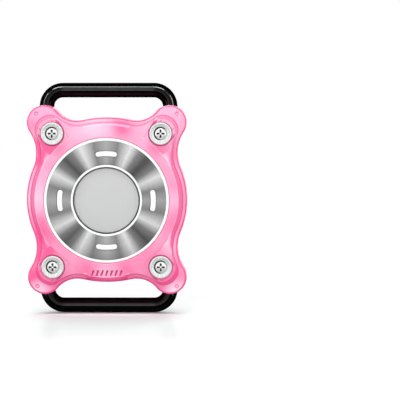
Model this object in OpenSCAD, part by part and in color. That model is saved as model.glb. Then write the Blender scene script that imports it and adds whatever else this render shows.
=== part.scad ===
// Tracker tag holder for a flat strap. Millimetres, +Z up, front towards -Y.
// The pieces are drawn lying flat, x to the right, y up and z towards the front, and stood up by plan().
// The origin is under the middle of the lower loop, halfway through the thickness.

/* [Tracker tag] */
// Diameter of the round tag that the case holds
tag_d = 31.9; // [28:0.1:38]
// Thickness of the tag with its battery cover
tag_t = 8; // [7.6:0.1:10]
// Thickness of the tag's plastic skin
tag_skin = 0.8; // [0.6:0.1:1]
// Diameter of the coin cell
cell_d = 20; // [16:0.5:22]
// Thickness of the coin cell
cell_t = 3.2; // [2:0.1:3.3]

/* [Case outline] */
// Case wall outside the seal at the middle of each side
side_wall = 4.3; // [3.6:0.1:6]
// Case wall outside the seal at the middle of the top and bottom
end_wall = 4.95; // [4:0.05:6]
// Radius of the bulge on each side
side_bulge_r = 23.8; // [20:0.1:40]
// Radius of the shallow bulge at the top and bottom
end_bulge_r = 32; // [24:0.5:60]
// Radius of each corner lobe
lobe_r = 4.95; // [4.4:0.05:6]
// Radius of the hollow between a side bulge and a lobe
side_hollow_r = 11.2; // [8:0.1:16]
// Radius of the hollow between an end bulge and a lobe
end_hollow_r = 7.4; // [6:0.1:12]
// Angle of the screws and lobes above the horizontal, in degrees
corner_angle = 51; // [48:0.5:54]

/* [Thickness] */
// Thickness of the rear shell, up to the joint with the cover
rear_shell_t = 5.6; // [5.2:0.1:6.4]
// Thickness of the rear shell's floor
floor_t = 1.2; // [0.9:0.1:2]
// Thickness of the white liner's floor above the shell's floor
liner_floor_t = 0.4; // [0.3:0.05:0.8]
// Thickness of the white deck under the steel ring
deck_t = 0.5; // [0.4:0.05:1]
// Height of the cover's raised middle above its rim
step_h = 1.9; // [1.2:0.1:2.4]
// Width of the cover's rim round the raised middle
rim_w = 2.1; // [1.6:0.1:2.8]

/* [Front] */
// Thickness of the steel ring
ring_t = 0.75; // [0.5:0.05:1.2]
// How far the steel ring reaches over the wall of the tag's pocket
ring_over = 1; // [0.6:0.1:1.6]
// Width of the white edge round the steel ring
outer_edge_w = 0.8; // [0.6:0.05:1.2]
// Width of the white edge round the window
inner_edge_w = 0.65; // [0.5:0.05:1]
// Radius of the window that shows
window_r = 9.2; // [7:0.1:10]
// Width of the dark gasket under the window's edge
gasket_w = 0.45; // [0.3:0.05:0.8]
// Thickness of that gasket
gasket_t = 0.15; // [0.1:0.05:0.3]
// Distance from the steel ring's edge to the middle of its slots
slot_inset = 3.7; // [3:0.1:4.5]
// Width of each slot in the steel ring
slot_w = 1.65; // [1.2:0.05:2]
// Length of each slot along its arc
slot_l = 6.35; // [4:0.05:9]
// Half the width of the ledge for opening the cover
tab_half_w = 5.4; // [4:0.1:7]
// Distance from the cover's lower edge to the inner end of that ledge
tab_l = 4; // [2:0.1:4.4]

/* [Rear] */
// Width of the white ring round the medallion
white_ring_w = 2.15; // [1:0.05:3]
// How far the medallion stands out of the rear face
medallion_h = 1; // [0.6:0.1:1.6]
// Width of the medallion's bevel
bevel_w = 1.3; // [0.8:0.1:2]
// Radius of the turned grooves in the middle of the medallion
turned_r = 6.2; // [4:0.1:7]
// Distance from one turned groove to the next
turned_pitch = 0.68; // [0.6:0.02:1.4]
// Distance from the middle to the medallion's windows
eyelet_x = 8.5; // [7.8:0.1:9.5]
// Width of the medallion's windows
eyelet_w = 2.7; // [2:0.1:3.2]
// Height of the medallion's windows
eyelet_h = 6.4; // [6.2:0.1:7.2]
// Width of the inlaid ring with slanted bars
inlay_w = 4.2; // [3:0.1:4.6]
// Distance from one slanted bar to the next
bar_pitch = 2; // [1:0.05:3]
// Length of each white accent bar
accent_l = 6.4; // [4:0.1:8]
// Width of each white accent bar
accent_w = 1.2; // [0.8:0.1:1.8]
// Distance from the inlaid ring's seat to the middle of each accent bar
accent_offset = 2; // [1.4:0.1:2.4]

/* [Strap loops] */
// Diameter of the loops' rod
rod_d = 4.3; // [3.6:0.1:4.6]
// Radius of the rod's bends, to its centreline
bend_r = 4.8; // [3.6:0.1:5.2]
// Distance from the lobe screws up or down to the strap bar
loop_reach = 9.3; // [8.8:0.1:14]
// Radius of the eyes at the rod's ends
eye_r = 3.2; // [2.9:0.05:3.4]
// Thickness of the eyes
eye_t = 2.95; // [2.4:0.05:3.2]
// Depth of the pockets that the eyes sit in
pocket_depth = 1.2; // [0.8:0.1:1.6]

/* [Screws] */
// Distance from the seal groove to the cover screws
cover_screw_offset = 5.9; // [5.6:0.1:7]
// Distance from each cover screw to the loop screw beside it
screw_spacing = 4; // [3.8:0.1:5]
// Radius of the cover screws' shanks
cover_shank_r = 1; // [0.8:0.05:1.1]
// Radius of the cover screws' heads
cover_head_r = 1.55; // [1.4:0.05:1.7]
// Height of the cover screws' heads
cover_head_h = 1; // [0.8:0.05:1.2]
// Radius of the loop screws' shanks
loop_shank_r = 1.25; // [1:0.05:1.3]
// Radius of the loop screws' heads
loop_head_r = 2.25; // [1.9:0.05:2.3]
// Height of the loop screws' heads
loop_head_h = 1.3; // [1:0.05:1.6]
// Radius of the bright cups under the cover screws
cup_r = 3.3; // [2.8:0.05:3.6]
// Thickness of those cups
cup_t = 1.7; // [1.5:0.05:2]

/* [Hidden] */
$fn = 96;

// Corners, as the sign of x and of y
UPPER_LEFT = [-1, 1];
UPPER_RIGHT = [1, 1];
LOWER_LEFT = [-1, -1];
LOWER_RIGHT = [1, -1];
CORNERS = [UPPER_LEFT, UPPER_RIGHT, LOWER_LEFT, LOWER_RIGHT];

// Clearances and small sizes that several pieces share
overrun = 1;
fit_gap = 0.03;
turn_gap = 0.06;
shank_gap = 0.08;
pocket_gap = 0.25;
edge_round = 0.45;
chamfer = 0.25;
arc_step = 2;
arc_turn = 12;

// Radii of the tag, its pocket and the seal
tag_gap = 0.25;
tag_r = tag_d / 2;
cavity_r = tag_r + tag_gap;
liner_wall = 0.8;
liner_r = cavity_r + liner_wall;
seal_wall = 0.6;
seal_d = 1;
seal_gap = 0.15;
seal_in_r = liner_r + seal_wall;
seal_mid_r = seal_in_r + seal_gap + seal_d / 2;
seal_out_r = seal_mid_r + seal_d / 2 + seal_gap;
bore_step = 0.4;
cover_bore_r = cavity_r + bore_step;

// Half sizes of the case, and the places of its screws on one line from the middle
half_w = seal_out_r + side_wall;
half_h = seal_out_r + end_wall;
cover_screw_r = seal_out_r + cover_screw_offset;
loop_screw_r = cover_screw_r + screw_spacing;
place_step = 0.05;
corner_line = [cos(corner_angle), sin(corner_angle)];
cover_screw = rounded(cover_screw_r * corner_line);
loop_screw = rounded(loop_screw_r * corner_line);

// Heights through the thickness, from the rear face to the front
tag_head_gap = 0.1;
ring_proud = 0.15;
skirt_h = 0.7;
tag_z = floor_t + liner_floor_t;
tag_top_z = tag_z + tag_t;
deck_z = tag_top_z + tag_head_gap;
ring_z = deck_z + deck_t;
ring_top_z = ring_z + ring_t;
plateau_z = ring_top_z - ring_proud;
rim_z = plateau_z - step_h;
ledge_z = deck_z - skirt_h;
parting_z = rear_shell_t;
parting_line = 0.25;

// Cover screws, their cups and their inserts
cup_proud = 0.3;
cup_top_z = plateau_z + cup_proud;
cup_z = cup_top_z - cup_t;
cup_well_gap = 0.35;
cup_wall = 1.3;
insert_wall = 0.5;
cover_insert_l = 3.6;
cover_insert_r = cover_shank_r + turn_gap + insert_wall;
cover_insert_z = parting_z - cover_insert_l;
cover_seat_z = cup_top_z - cover_head_h;
tip_gap = 0.3;
drive_w_share = 0.3;
drive_l_share = 1.25;
drive_h_share = 0.6;

// Loops, their eyes and their screws
rod_gap = 0.1;
eye_seat_gap = 0.05;
eye_well = 0.9;
eye_well_gap = 0.1;
neck_l = 0.9;
neck_share = 0.68;
loop_insert_l = 3.8;
loop_insert_r = loop_shank_r + turn_gap + insert_wall;
rod_r = rod_d / 2;
rod_z = pocket_depth - rod_gap - rod_r;
eye_z = pocket_depth - eye_seat_gap;
eye_back_z = eye_z - eye_t;
loop_seat_z = eye_back_z + eye_well;
neck_y = loop_head_r + eye_well_gap + rod_gap;
bar_y = loop_screw[1] + loop_reach;
loop_half_h = bar_y + rod_r;

// Middle of the whole thickness, from the rod's back to the cups' front
mid_z = (cup_top_z + rod_z - rod_r) / 2;

// Steel ring, its slots and the window
pad_drop = 0.12;
window_drop = 0.05;
ring_r = cavity_r + ring_over;
front_liner_r = ring_r + outer_edge_w;
window_edge_r = window_r + gasket_w;
ring_hole_r = window_edge_r + inner_edge_w;
slot_r = ring_r - slot_inset;
slot_span = (slot_l - slot_w) / slot_r * 180 / PI;

// Rear window, medallion and inlays
rear_step = 0.2;
medallion_seat = 0.6;
eyelet_drop = 0.4;
turned_w_share = 0.35;
turned_depth = 0.12;
inlay_lip = 0.5;
inlay_depth = 0.5;
inlay_line = 0.2;
bar_gap_share = 0.3;
bar_relief = 0.15;
accent_depth = 0.4;
rear_window_r = cavity_r + rear_step;
medallion_r = rear_window_r - white_ring_w;
inlay_in_r = rear_window_r + inlay_lip;
inlay_out_r = inlay_in_r + inlay_w;
inlay_seat_r = inlay_out_r + inlay_line;
accent_r = inlay_seat_r + accent_offset;

// Mould marks on the lobes, and the ledge for opening the cover
dimple_r = 0.6;
dimple_depth = 0.35;
dimple_out = 3.3;
tab_inset = 0.35;

// Inside of the tag
tag_edge_r = 3;
tag_brow_r = 1;
battery_cover_share = 0.81;
battery_cover_t = 0.85;
lip_drop = 0.4;
lip_t = 0.5;
lip_gap = 0.1;
bayonet_t = 0.4;
bayonet_reach = 0.75;
bayonet_span = 18;
bayonet_turn = 25;
bayonet_play = 4;
battery_skirt_w = 0.7;
board_t = 0.8;
board_ledge_w = 0.9;
board_room = 0.7;
sounder_r = 5;
cell_gap = 0.15;
contact_t = 0.2;
contact_l = 3;
contact_w = 1.2;
tab_turns = [90, 210, 330];
battery_cover_r = battery_cover_share * tag_r;
battery_skirt_r = battery_cover_r - battery_skirt_w;
battery_cover_z = tag_top_z - battery_cover_t;
lip_z = tag_top_z - lip_drop - lip_t;
bayonet_z = lip_z - lip_gap - bayonet_t;
bayonet_r = battery_cover_r + bayonet_reach;
housing_floor_z = tag_z + tag_skin;
cell_z = battery_cover_z - cell_gap - cell_t;
board_z = cell_z - contact_t - board_t;
board_r = bayonet_r - board_room;

// A place rounded to the drawing's step
function rounded(place) = [for (v = place) round(v / place_step) * place_step];

// Points along an arc from bearing a to bearing b, without its last one
function arc(c, r, a, b) =
    let (turn = abs(b - a), n = ceil(max(turn / arc_turn, turn * PI / 180 * r / arc_step)))
    [for (i = [0 : n - 1]) let (t = a + (b - a) * i / n) [c[0] + r * cos(t), c[1] + r * sin(t)]];

// Angle of the line from p to q
function bearing(p, q) = atan2(q[1] - p[1], q[0] - p[0]);

// Where two circles meet, on the left of the line from p to q, or on its right where side is -1
function meet(p, p_r, q, q_r, side) =
    let (d = norm(q - p), along = (q - p) / d)
    let (a = (p_r * p_r - q_r * q_r + d * d) / (2 * d))
    let (h = side * sqrt(p_r * p_r - a * a))
    p + a * along + h * [-along[1], along[0]];

// Quarter of a lobed outline: a side bulge, a hollow, a lobe, a hollow and an end bulge, all tangent
function quarter(w, h, side_r, end_r, lobe, lobe_r, hollow_side_r, hollow_end_r) =
    let (side = [w - side_r, 0])
    let (end = [0, h - end_r])
    let (waist = meet(side, side_r + hollow_side_r, lobe, lobe_r + hollow_side_r, -1))
    let (neck = meet(end, end_r + hollow_end_r, lobe, lobe_r + hollow_end_r, 1))
    concat(
        arc(side, side_r, 0, bearing(side, waist)),
        arc(waist, hollow_side_r, bearing(waist, side) + 360, bearing(waist, lobe)),
        arc(lobe, lobe_r, bearing(lobe, waist), bearing(lobe, neck)),
        arc(neck, hollow_end_r, bearing(neck, lobe), bearing(neck, end)),
        arc(end, end_r, bearing(end, neck), 90),
        [[0, h]]
    );

// Whole outline from its quarter
function four_sides(q) =
    let (n = len(q) - 1)
    concat(
        [for (i = [0 : n - 1]) q[i]],
        [for (i = [n : -1 : 1]) [-q[i][0], q[i][1]]],
        [for (i = [0 : n - 1]) -q[i]],
        [for (i = [n : -1 : 1]) [q[i][0], -q[i][1]]]
    );

// Outline of the case, moved in by inset
function case_outline(inset = 0) = four_sides(quarter(
    half_w - inset, half_h - inset, side_bulge_r - inset, end_bulge_r - inset,
    loop_screw, lobe_r - inset, side_hollow_r + inset, end_hollow_r + inset
));

// Outline of the cover's raised middle, with its corners round the screw cups
function plateau_outline(inset = 0) = four_sides(quarter(
    half_w - rim_w - inset, half_h - rim_w - inset,
    side_bulge_r - rim_w - inset, end_bulge_r - rim_w - inset,
    cover_screw, cup_r + cup_wall - inset,
    side_hollow_r + rim_w + inset, end_hollow_r + rim_w + inset
));

// Curved slot with round ends, its middle on the x axis
function slot_points(inset = 0) =
    let (r = slot_w / 2 - inset, half = slot_span / 2)
    let (low = slot_r * [cos(half), -sin(half)], high = slot_r * [cos(half), sin(half)])
    concat(
        arc([0, 0], slot_r + r, -half, half),
        arc(high, r, half, half + 180),
        arc([0, 0], slot_r - r, half, -half),
        arc(low, r, 180 - half, 360 - half)
    );

// Stands the flat drawing up, front towards -Y
module plan() {
    translate([0, mid_z, loop_half_h]) rotate([90, 0, 0]) children();
}

// Flat plate from one height to another
module slab(points, z, top) {
    translate([0, 0, z]) linear_extrude(top - z) polygon(points);
}

// Round bar from one height to another
module rod(r, z, top) {
    translate([0, 0, z]) cylinder(h = top - z, r = r);
}

// Flat ring from one height to another
module ring(r, hole_r, z, top) {
    difference() {
        rod(r, z, top);
        rod(hole_r, z - overrun, top + overrun);
    }
}

// Part of a flat ring, its middle on the x axis
module ring_part(r, hole_r, z, top, span) {
    rotate([0, 0, -span / 2]) translate([0, 0, z])
        rotate_extrude(angle = span) translate([hole_r, 0]) square([r - hole_r, top - z]);
}

// Draws the same thing on the right and, mirrored, on the left
module both_sides() {
    children();
    mirror([1, 0, 0]) children();
}

// Moves a piece drawn at the middle to one corner
module at(place, corner) {
    translate([corner[0] * place[0], corner[1] * place[1], 0]) children();
}

// Cross-head screw along z, its seat at height 0 and its shank going down
module screw(head_r, head_h, shank_r, shank_l) {
    drive_l = drive_l_share * head_r;
    drive_w = drive_w_share * head_r;
    difference() {
        union() {
            rod(shank_r, -shank_l, 0);
            rod(head_r, 0, head_h - chamfer);
            translate([0, 0, head_h - chamfer])
                cylinder(h = chamfer, r1 = head_r, r2 = head_r - chamfer);
        }
        for (turn = [0, 90]) rotate([0, 0, turn])
            translate([-drive_l / 2, -drive_w / 2, (1 - drive_h_share) * head_h])
            cube([drive_l, drive_w, head_h]);
    }
}

// Rear half of the case, with the pockets for the loops' eyes
module rear_shell() {
    color("hotpink") plan() difference() {
        union() {
            slab(case_outline(edge_round), 0, edge_round);
            slab(case_outline(), edge_round, parting_z - parting_line);
            slab(case_outline(parting_line), parting_z - parting_line, parting_z);
        }
        rod(liner_r + fit_gap, floor_t, parting_z + overrun);
        rod(rear_window_r, -overrun, floor_t + overrun);
        ring(inlay_seat_r, inlay_in_r, -overrun, inlay_depth);
        ring(seal_out_r, seal_in_r, parting_z - seal_d - fit_gap, parting_z + overrun);
        for (corner = CORNERS) {
            at(cover_screw, corner)
                rod(cover_insert_r + fit_gap, cover_insert_z, parting_z + overrun);
            at(loop_screw, corner)
                rod(loop_insert_r + fit_gap, pocket_depth - overrun, pocket_depth + loop_insert_l);
            at(loop_screw, corner) loop_pocket(corner);
            accent_bar(corner, fit_gap, -overrun, accent_depth);
        }
    }
}

// Pocket for an eye and its leg, open to the rear and past the lobe's edge
module loop_pocket(corner) {
    rod(eye_r + pocket_gap, -overrun, pocket_depth);
    leg_l = 2 * lobe_r;
    leg_half_w = rod_r + pocket_gap;
    translate([-leg_half_w, min(0, corner[1] * leg_l), -overrun])
        cube([2 * leg_half_w, leg_l, pocket_depth + overrun]);
}

// White bar across a corner of the rear face, grown by gap
module accent_bar(corner, gap, z, top) {
    rotate([0, 0, bearing([0, 0], [corner[0] * cover_screw[0], corner[1] * cover_screw[1]])])
        translate([accent_r - accent_w / 2 - gap, -accent_l / 2 - gap, z])
        cube([accent_w + 2 * gap, accent_l + 2 * gap, top - z]);
}

module accent_bars() {
    color("white") plan() for (corner = CORNERS) accent_bar(corner, 0, 0, accent_depth);
}

// White pocket that the tag sits in, which shows as a ring round the medallion and in its windows
module rear_liner() {
    color("white") plan() {
        difference() {
            union() {
                rod(rear_window_r - fit_gap, 0, tag_z);
                rod(liner_r, floor_t, parting_z - fit_gap);
            }
            rod(cavity_r, tag_z, parting_z + overrun);
            rod(medallion_r + fit_gap, -overrun, medallion_seat);
        }
        both_sides() eyelet(fit_gap, eyelet_drop - medallion_h, medallion_seat + fit_gap);
    }
}

// Window of the medallion: straight on its outer side and round on its inner one
module eyelet(inset, z, top) {
    eyelet_r = (eyelet_h * eyelet_h / 4 + eyelet_w * eyelet_w) / (2 * eyelet_w);
    intersection() {
        translate([eyelet_x + eyelet_r, 0, 0]) rod(eyelet_r - inset, z, top);
        translate([eyelet_x - overrun, -eyelet_h, z])
            cube([eyelet_w + overrun - inset, 2 * eyelet_h, top - z]);
    }
}

// Coloured metal disc in the middle of the rear face
module medallion() {
    color("pink") plan() difference() {
        union() {
            rod(medallion_r, 0, medallion_seat);
            translate([0, 0, -medallion_h])
                cylinder(h = medallion_h, r1 = medallion_r - bevel_w, r2 = medallion_r);
        }
        for (r = [turned_pitch : turned_pitch : turned_r])
            ring(r, r - turned_w_share * turned_pitch, -medallion_h - overrun, turned_depth - medallion_h);
        both_sides() eyelet(0, -medallion_h - overrun, medallion_seat + overrun);
    }
}

// Inlaid ring, its bars parted by slanted grooves
module inlay_ring() {
    reach = ceil(inlay_out_r / bar_pitch);
    color("deeppink") plan() difference() {
        ring(inlay_out_r, inlay_in_r + fit_gap, 0, inlay_depth);
        rotate([0, 0, -45]) for (i = [-reach : reach])
            translate([-inlay_out_r, (i - bar_gap_share / 2) * bar_pitch, -overrun])
            cube([2 * inlay_out_r, bar_gap_share * bar_pitch, overrun + bar_relief]);
    }
}

// Rubber ring in the groove between the two halves of the case
module case_seal() {
    color("dimgray") plan() translate([0, 0, parting_z - seal_d / 2 - fit_gap])
        rotate_extrude() translate([seal_mid_r, 0]) circle(seal_d / 2, $fn = 24);
}

// Threaded bushes for the cover screws
module cover_inserts() {
    color("goldenrod") plan() for (corner = CORNERS) at(cover_screw, corner)
        ring(cover_insert_r, cover_shank_r + turn_gap, cover_insert_z, parting_z - fit_gap);
}

// Threaded bushes for the loop screws
module loop_inserts() {
    color("goldenrod") plan() for (corner = CORNERS) at(loop_screw, corner)
        ring(loop_insert_r, loop_shank_r + turn_gap, pocket_depth, pocket_depth + loop_insert_l - fit_gap);
}

// Strap loop: a straight bar, two bends and two legs that end in eyes
module strap_loop() {
    bend_x = loop_screw[0] - bend_r;
    bend_y = bar_y - bend_r;
    difference() {
        union() {
            translate([-bend_x, bar_y, rod_z]) rotate([0, 90, 0]) rod(rod_r, 0, 2 * bend_x);
            both_sides() {
                translate([bend_x, bend_y, rod_z])
                    rotate_extrude(angle = 90) translate([bend_r, 0]) circle(rod_r, $fn = 48);
                translate([loop_screw[0], loop_screw[1], rod_z]) rotate([-90, 0, 0]) {
                    rod(rod_r, neck_y + neck_l, bend_y - loop_screw[1]);
                    translate([0, 0, neck_y]) cylinder(h = neck_l, r1 = neck_share * rod_r, r2 = rod_r);
                }
                translate([loop_screw[0], loop_screw[1], 0]) rod(eye_r, eye_back_z, eye_z);
            }
        }
        both_sides() translate([loop_screw[0], loop_screw[1], 0]) {
            rod(loop_shank_r + shank_gap, eye_back_z - overrun, eye_z + overrun);
            rod(loop_head_r + eye_well_gap, eye_back_z - overrun, loop_seat_z);
        }
    }
}

module upper_loop() {
    color("black") plan() strap_loop();
}

module lower_loop() {
    color("black") plan() mirror([0, 1, 0]) strap_loop();
}

// Screw that holds an eye to its lobe, its head to the rear
module loop_screw_piece(corner) {
    shank_l = pocket_depth + loop_insert_l - loop_seat_z - tip_gap;
    color("silver") plan() at(loop_screw, corner) translate([0, 0, loop_seat_z]) rotate([180, 0, 0])
        screw(loop_head_r, loop_head_h, loop_shank_r, shank_l);
}

// Screw that holds the cover, its head to the front
module cover_screw_piece(corner) {
    color("silver") plan() at(cover_screw, corner) translate([0, 0, cover_seat_z])
        screw(cover_head_r, cover_head_h, cover_shank_r, cover_seat_z - cover_insert_z - tip_gap);
}

// Front half of the case, with a raised middle and a ledge for opening it
module front_cover() {
    color("hotpink") plan() difference() {
        union() {
            slab(case_outline(parting_line), parting_z, parting_z + parting_line);
            slab(case_outline(), parting_z + parting_line, rim_z - edge_round);
            slab(case_outline(edge_round), rim_z - edge_round, rim_z);
            slab(plateau_outline(), rim_z, plateau_z - edge_round);
            slab(plateau_outline(edge_round), plateau_z - edge_round, plateau_z);
            intersection() {
                slab(case_outline(tab_inset), rim_z, plateau_z);
                translate([-tab_half_w, -half_h, rim_z]) cube([2 * tab_half_w, tab_l, step_h]);
            }
        }
        rod(cover_bore_r, parting_z - overrun, ledge_z);
        rod(front_liner_r + fit_gap, ledge_z, plateau_z + overrun);
        for (corner = CORNERS) {
            at(cover_screw, corner) rod(cover_shank_r + shank_gap, parting_z - overrun, cup_z + overrun);
            at(cover_screw, corner) rod(cup_r + fit_gap, cup_z, plateau_z + overrun);
            at((loop_screw_r + dimple_out) * corner_line, corner)
                rod(dimple_r, rim_z - dimple_depth, rim_z + overrun);
        }
    }
}

// White deck over the tag, with the edges and pads that show round and through the steel ring
module front_liner() {
    color("white") plan() {
        difference() {
            rod(front_liner_r, ledge_z, ring_top_z);
            rod(cover_bore_r, ledge_z - overrun, deck_z);
            rod(window_r, deck_z - overrun, ring_z + overrun);
            rod(window_edge_r, ring_z, ring_top_z + overrun);
            ring(ring_r + fit_gap, ring_hole_r - fit_gap, ring_z, ring_top_z + overrun);
        }
        for (turn = [0 : 90 : 270]) rotate([0, 0, turn])
            slab(slot_points(fit_gap), ring_z - fit_gap, ring_top_z - pad_drop);
    }
}

// Turned steel ring with four slots
module steel_ring() {
    color("lightgray") plan() difference() {
        ring(ring_r, ring_hole_r, ring_z, ring_top_z);
        for (turn = [0 : 90 : 270]) rotate([0, 0, turn])
            slab(slot_points(), ring_z - overrun, ring_top_z + overrun);
    }
}

// Dark gasket that the window lies on
module window_gasket() {
    color("dimgray") plan() ring(window_edge_r - fit_gap, window_r, ring_z, ring_z + gasket_t);
}

// Clear window over the tag's face
module window() {
    color("lightcyan", 0.4) plan() rod(window_edge_r - fit_gap, ring_z + gasket_t, ring_top_z - window_drop);
}

// Bright cups that the cover screws' heads sit in
module screw_cups() {
    color("silver") plan() for (corner = CORNERS) at(cover_screw, corner) difference() {
        union() {
            rod(cup_r, cup_z, cup_top_z - chamfer);
            translate([0, 0, cup_top_z - chamfer]) cylinder(h = chamfer, r1 = cup_r, r2 = cup_r - chamfer);
        }
        rod(cover_shank_r + shank_gap, cup_z - overrun, cup_top_z + overrun);
        rod(cover_head_r + cup_well_gap, cover_seat_z, cup_top_z + overrun);
    }
}

// Section of the tag's housing: round outside, stepped inside for the board and the battery cover
function housing_section() = concat(
    [[0, tag_z]],
    arc([tag_r - tag_edge_r, tag_z + tag_edge_r], tag_edge_r, -90, 0),
    arc([tag_r - tag_brow_r, tag_top_z - lip_drop - tag_brow_r], tag_brow_r, 0, 90),
    [
        [tag_r - tag_brow_r, tag_top_z - lip_drop],
        [battery_cover_r + turn_gap, tag_top_z - lip_drop],
        [battery_cover_r + turn_gap, lip_z],
        [bayonet_r + lip_gap, lip_z],
        [bayonet_r + lip_gap, bayonet_z - lip_gap],
        [board_r + fit_gap, bayonet_z - lip_gap],
        [board_r + fit_gap, board_z],
        [board_r - board_ledge_w, board_z],
        [board_r - board_ledge_w, housing_floor_z],
        [0, housing_floor_z],
    ]
);

// White housing of the tag, notched where its battery cover's tabs go in
module tag_housing() {
    color("whitesmoke") plan() difference() {
        rotate_extrude() polygon(housing_section());
        for (turn = tab_turns) rotate([0, 0, turn + bayonet_turn]) ring_part(
            bayonet_r + turn_gap, battery_skirt_r,
            lip_z - lip_gap / 2, tag_top_z, bayonet_span + bayonet_play
        );
    }
}

// Round circuit board, open in the middle for the sounder
module tag_board() {
    color("seagreen") plan()
        ring(board_r, sounder_r + pocket_gap, board_z, board_z + board_t);
}

// Sounder on the housing's floor
module tag_sounder() {
    color("gray") plan() rod(sounder_r, housing_floor_z, board_z + board_t);
}

// Spring contacts between the board and the cell
module tag_contacts() {
    middle = (sounder_r + cell_d / 2) / 2;
    color("gold") plan() for (turn = tab_turns) rotate([0, 0, turn])
        translate([middle - contact_l / 2, -contact_w / 2, board_z + board_t])
        cube([contact_l, contact_w, contact_t]);
}

// Coin cell
module tag_cell() {
    color("silver") plan() {
        rod(cell_d / 2 - chamfer, cell_z, cell_z + chamfer);
        rod(cell_d / 2, cell_z + chamfer, cell_z + cell_t);
    }
}

// Steel cover over the cell, which turns to open
module tag_battery_cover() {
    color("lightgray") plan() {
        rod(battery_cover_r, battery_cover_z, tag_top_z - chamfer);
        translate([0, 0, tag_top_z - chamfer])
            cylinder(h = chamfer, r1 = battery_cover_r, r2 = battery_cover_r - chamfer);
        ring(battery_cover_r, battery_skirt_r, bayonet_z, battery_cover_z);
        for (turn = tab_turns) rotate([0, 0, turn])
            ring_part(bayonet_r, battery_skirt_r, bayonet_z, bayonet_z + bayonet_t, bayonet_span);
    }
}

rear_shell();
rear_liner();
medallion();
inlay_ring();
accent_bars();
case_seal();
cover_inserts();
loop_inserts();
upper_loop();
lower_loop();
loop_screw_piece(UPPER_LEFT);  // upper_left_loop_screw
loop_screw_piece(UPPER_RIGHT);  // upper_right_loop_screw
loop_screw_piece(LOWER_LEFT);  // lower_left_loop_screw
loop_screw_piece(LOWER_RIGHT);  // lower_right_loop_screw
front_cover();
front_liner();
steel_ring();
window_gasket();
window();
screw_cups();
cover_screw_piece(UPPER_LEFT);  // upper_left_cover_screw
cover_screw_piece(UPPER_RIGHT);  // upper_right_cover_screw
cover_screw_piece(LOWER_LEFT);  // lower_left_cover_screw
cover_screw_piece(LOWER_RIGHT);  // lower_right_cover_screw
tag_housing();
tag_board();
tag_sounder();
tag_contacts();
tag_cell();
tag_battery_cover();
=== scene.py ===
import math

import bmesh
import bpy
from mathutils import Matrix, Vector


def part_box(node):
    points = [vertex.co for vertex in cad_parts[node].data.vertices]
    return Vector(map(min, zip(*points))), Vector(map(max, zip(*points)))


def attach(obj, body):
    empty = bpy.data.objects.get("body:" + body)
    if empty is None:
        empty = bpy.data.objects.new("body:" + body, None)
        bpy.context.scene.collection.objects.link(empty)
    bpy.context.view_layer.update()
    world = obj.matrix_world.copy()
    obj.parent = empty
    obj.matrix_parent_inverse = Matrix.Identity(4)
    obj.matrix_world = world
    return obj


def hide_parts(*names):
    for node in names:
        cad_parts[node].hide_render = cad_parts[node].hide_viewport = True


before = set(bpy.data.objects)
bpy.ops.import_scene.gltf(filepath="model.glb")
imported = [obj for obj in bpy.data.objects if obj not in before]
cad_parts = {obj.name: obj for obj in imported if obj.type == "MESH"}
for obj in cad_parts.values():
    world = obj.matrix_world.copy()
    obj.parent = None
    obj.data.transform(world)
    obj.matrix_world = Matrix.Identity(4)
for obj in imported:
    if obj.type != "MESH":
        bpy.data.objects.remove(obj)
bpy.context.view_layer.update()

# The looks of a tracker tag holder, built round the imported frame.
# Pieces are drawn lying flat in millimetres, x to the right, y up and z towards the front,
# and then stood up in the frame, in metres, by PLAN.

MM = 0.001

# Where the flat drawing lies in the frame, from the rear shell's box
shell_low, shell_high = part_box("rear_shell")
MID_Z = shell_high.y / MM
RISE = (shell_low.z + shell_high.z) / 2 / MM
HALF_W = shell_high.x / MM
PLAN = Matrix((
    (MM, 0, 0, 0),
    (0, 0, -MM, MID_Z * MM),
    (0, MM, 0, RISE * MM),
    (0, 0, 0, 1),
))

# Outline of the case
HALF_H = 23.85
SIDE_BULGE_R = 23.8
END_BULGE_R = 32
LOBE_R = 4.95
SIDE_HOLLOW_R = 11.2
END_HOLLOW_R = 7.4
COVER_SCREW = Vector((15.6, 19.25))
LOOP_SCREW = Vector((18.1, 22.4))
CORNERS = {"upper_left": (-1, 1), "upper_right": (1, 1), "lower_left": (-1, -1), "lower_right": (1, -1)}

# Heights through the thickness, from the rear face to the front
FLOOR_Z = 1.2
TAG_Z = 1.6
PARTING_Z = 5.6
RIM_Z = 8.9
LEDGE_Z = 9.0
DECK_Z = 9.7
TAG_TOP_Z = 9.6
RING_Z = 10.2
PLATEAU_Z = 10.8
RING_TOP_Z = 10.95

# Front cover
SIDE_RIM_W = 2.1
END_RIM_W = 1.35
CORNER_R = 4.6
PARTING_LINE = 0.25
EDGE_R = 0.9
SLOPE_IN = 0.5
SLOPE_W = 1.65
END_SLOPE_W = 0.65
END_SLOPE_HALF_W = 8
END_SLOPE_BLEND = 4
CROWN = 0.3
SHOULDER_Z = PLATEAU_Z - CROWN
COLLAR_R = 20.6
COLLAR_W = 0.3
COLLAR_DROP = 0.16
COLLAR_REACH = 58
COLLAR_FADE = 8
LIP = 0.4
COVER_BORE_R = 16.6
SEAT_R = 18.03
CUP_HOLE_R = 3.26
CUP_HOLE_FLARE = 0.4
CUP_FLARE_DROP = 0.2
CUP_Z = 9.4
CUP_TOP_Z = 11.1
COVER_SEAT_Z = 10.1
COVER_HOLE_R = 1.08
DIMPLE = Vector((20.2, 24.95))
DIMPLE_R = 0.6
DIMPLE_DEPTH = 0.3
TAB_HALF_W = 5.4
TAB_L = 4.6
TAB_INSET = 0.4
TAB_SLOPE = 1.0
TAB_FLARE = 0.6
TAB_TOP_Z = SHOULDER_Z + 0.04
STROKES = 7
STROKE_PITCH = 1.35
STROKE_W = 0.42
STROKE_L = 1.5
STROKE_LEAN = 0.35
STROKE_Y = -21.0
STROKE_DEPTH = 0.25

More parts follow.
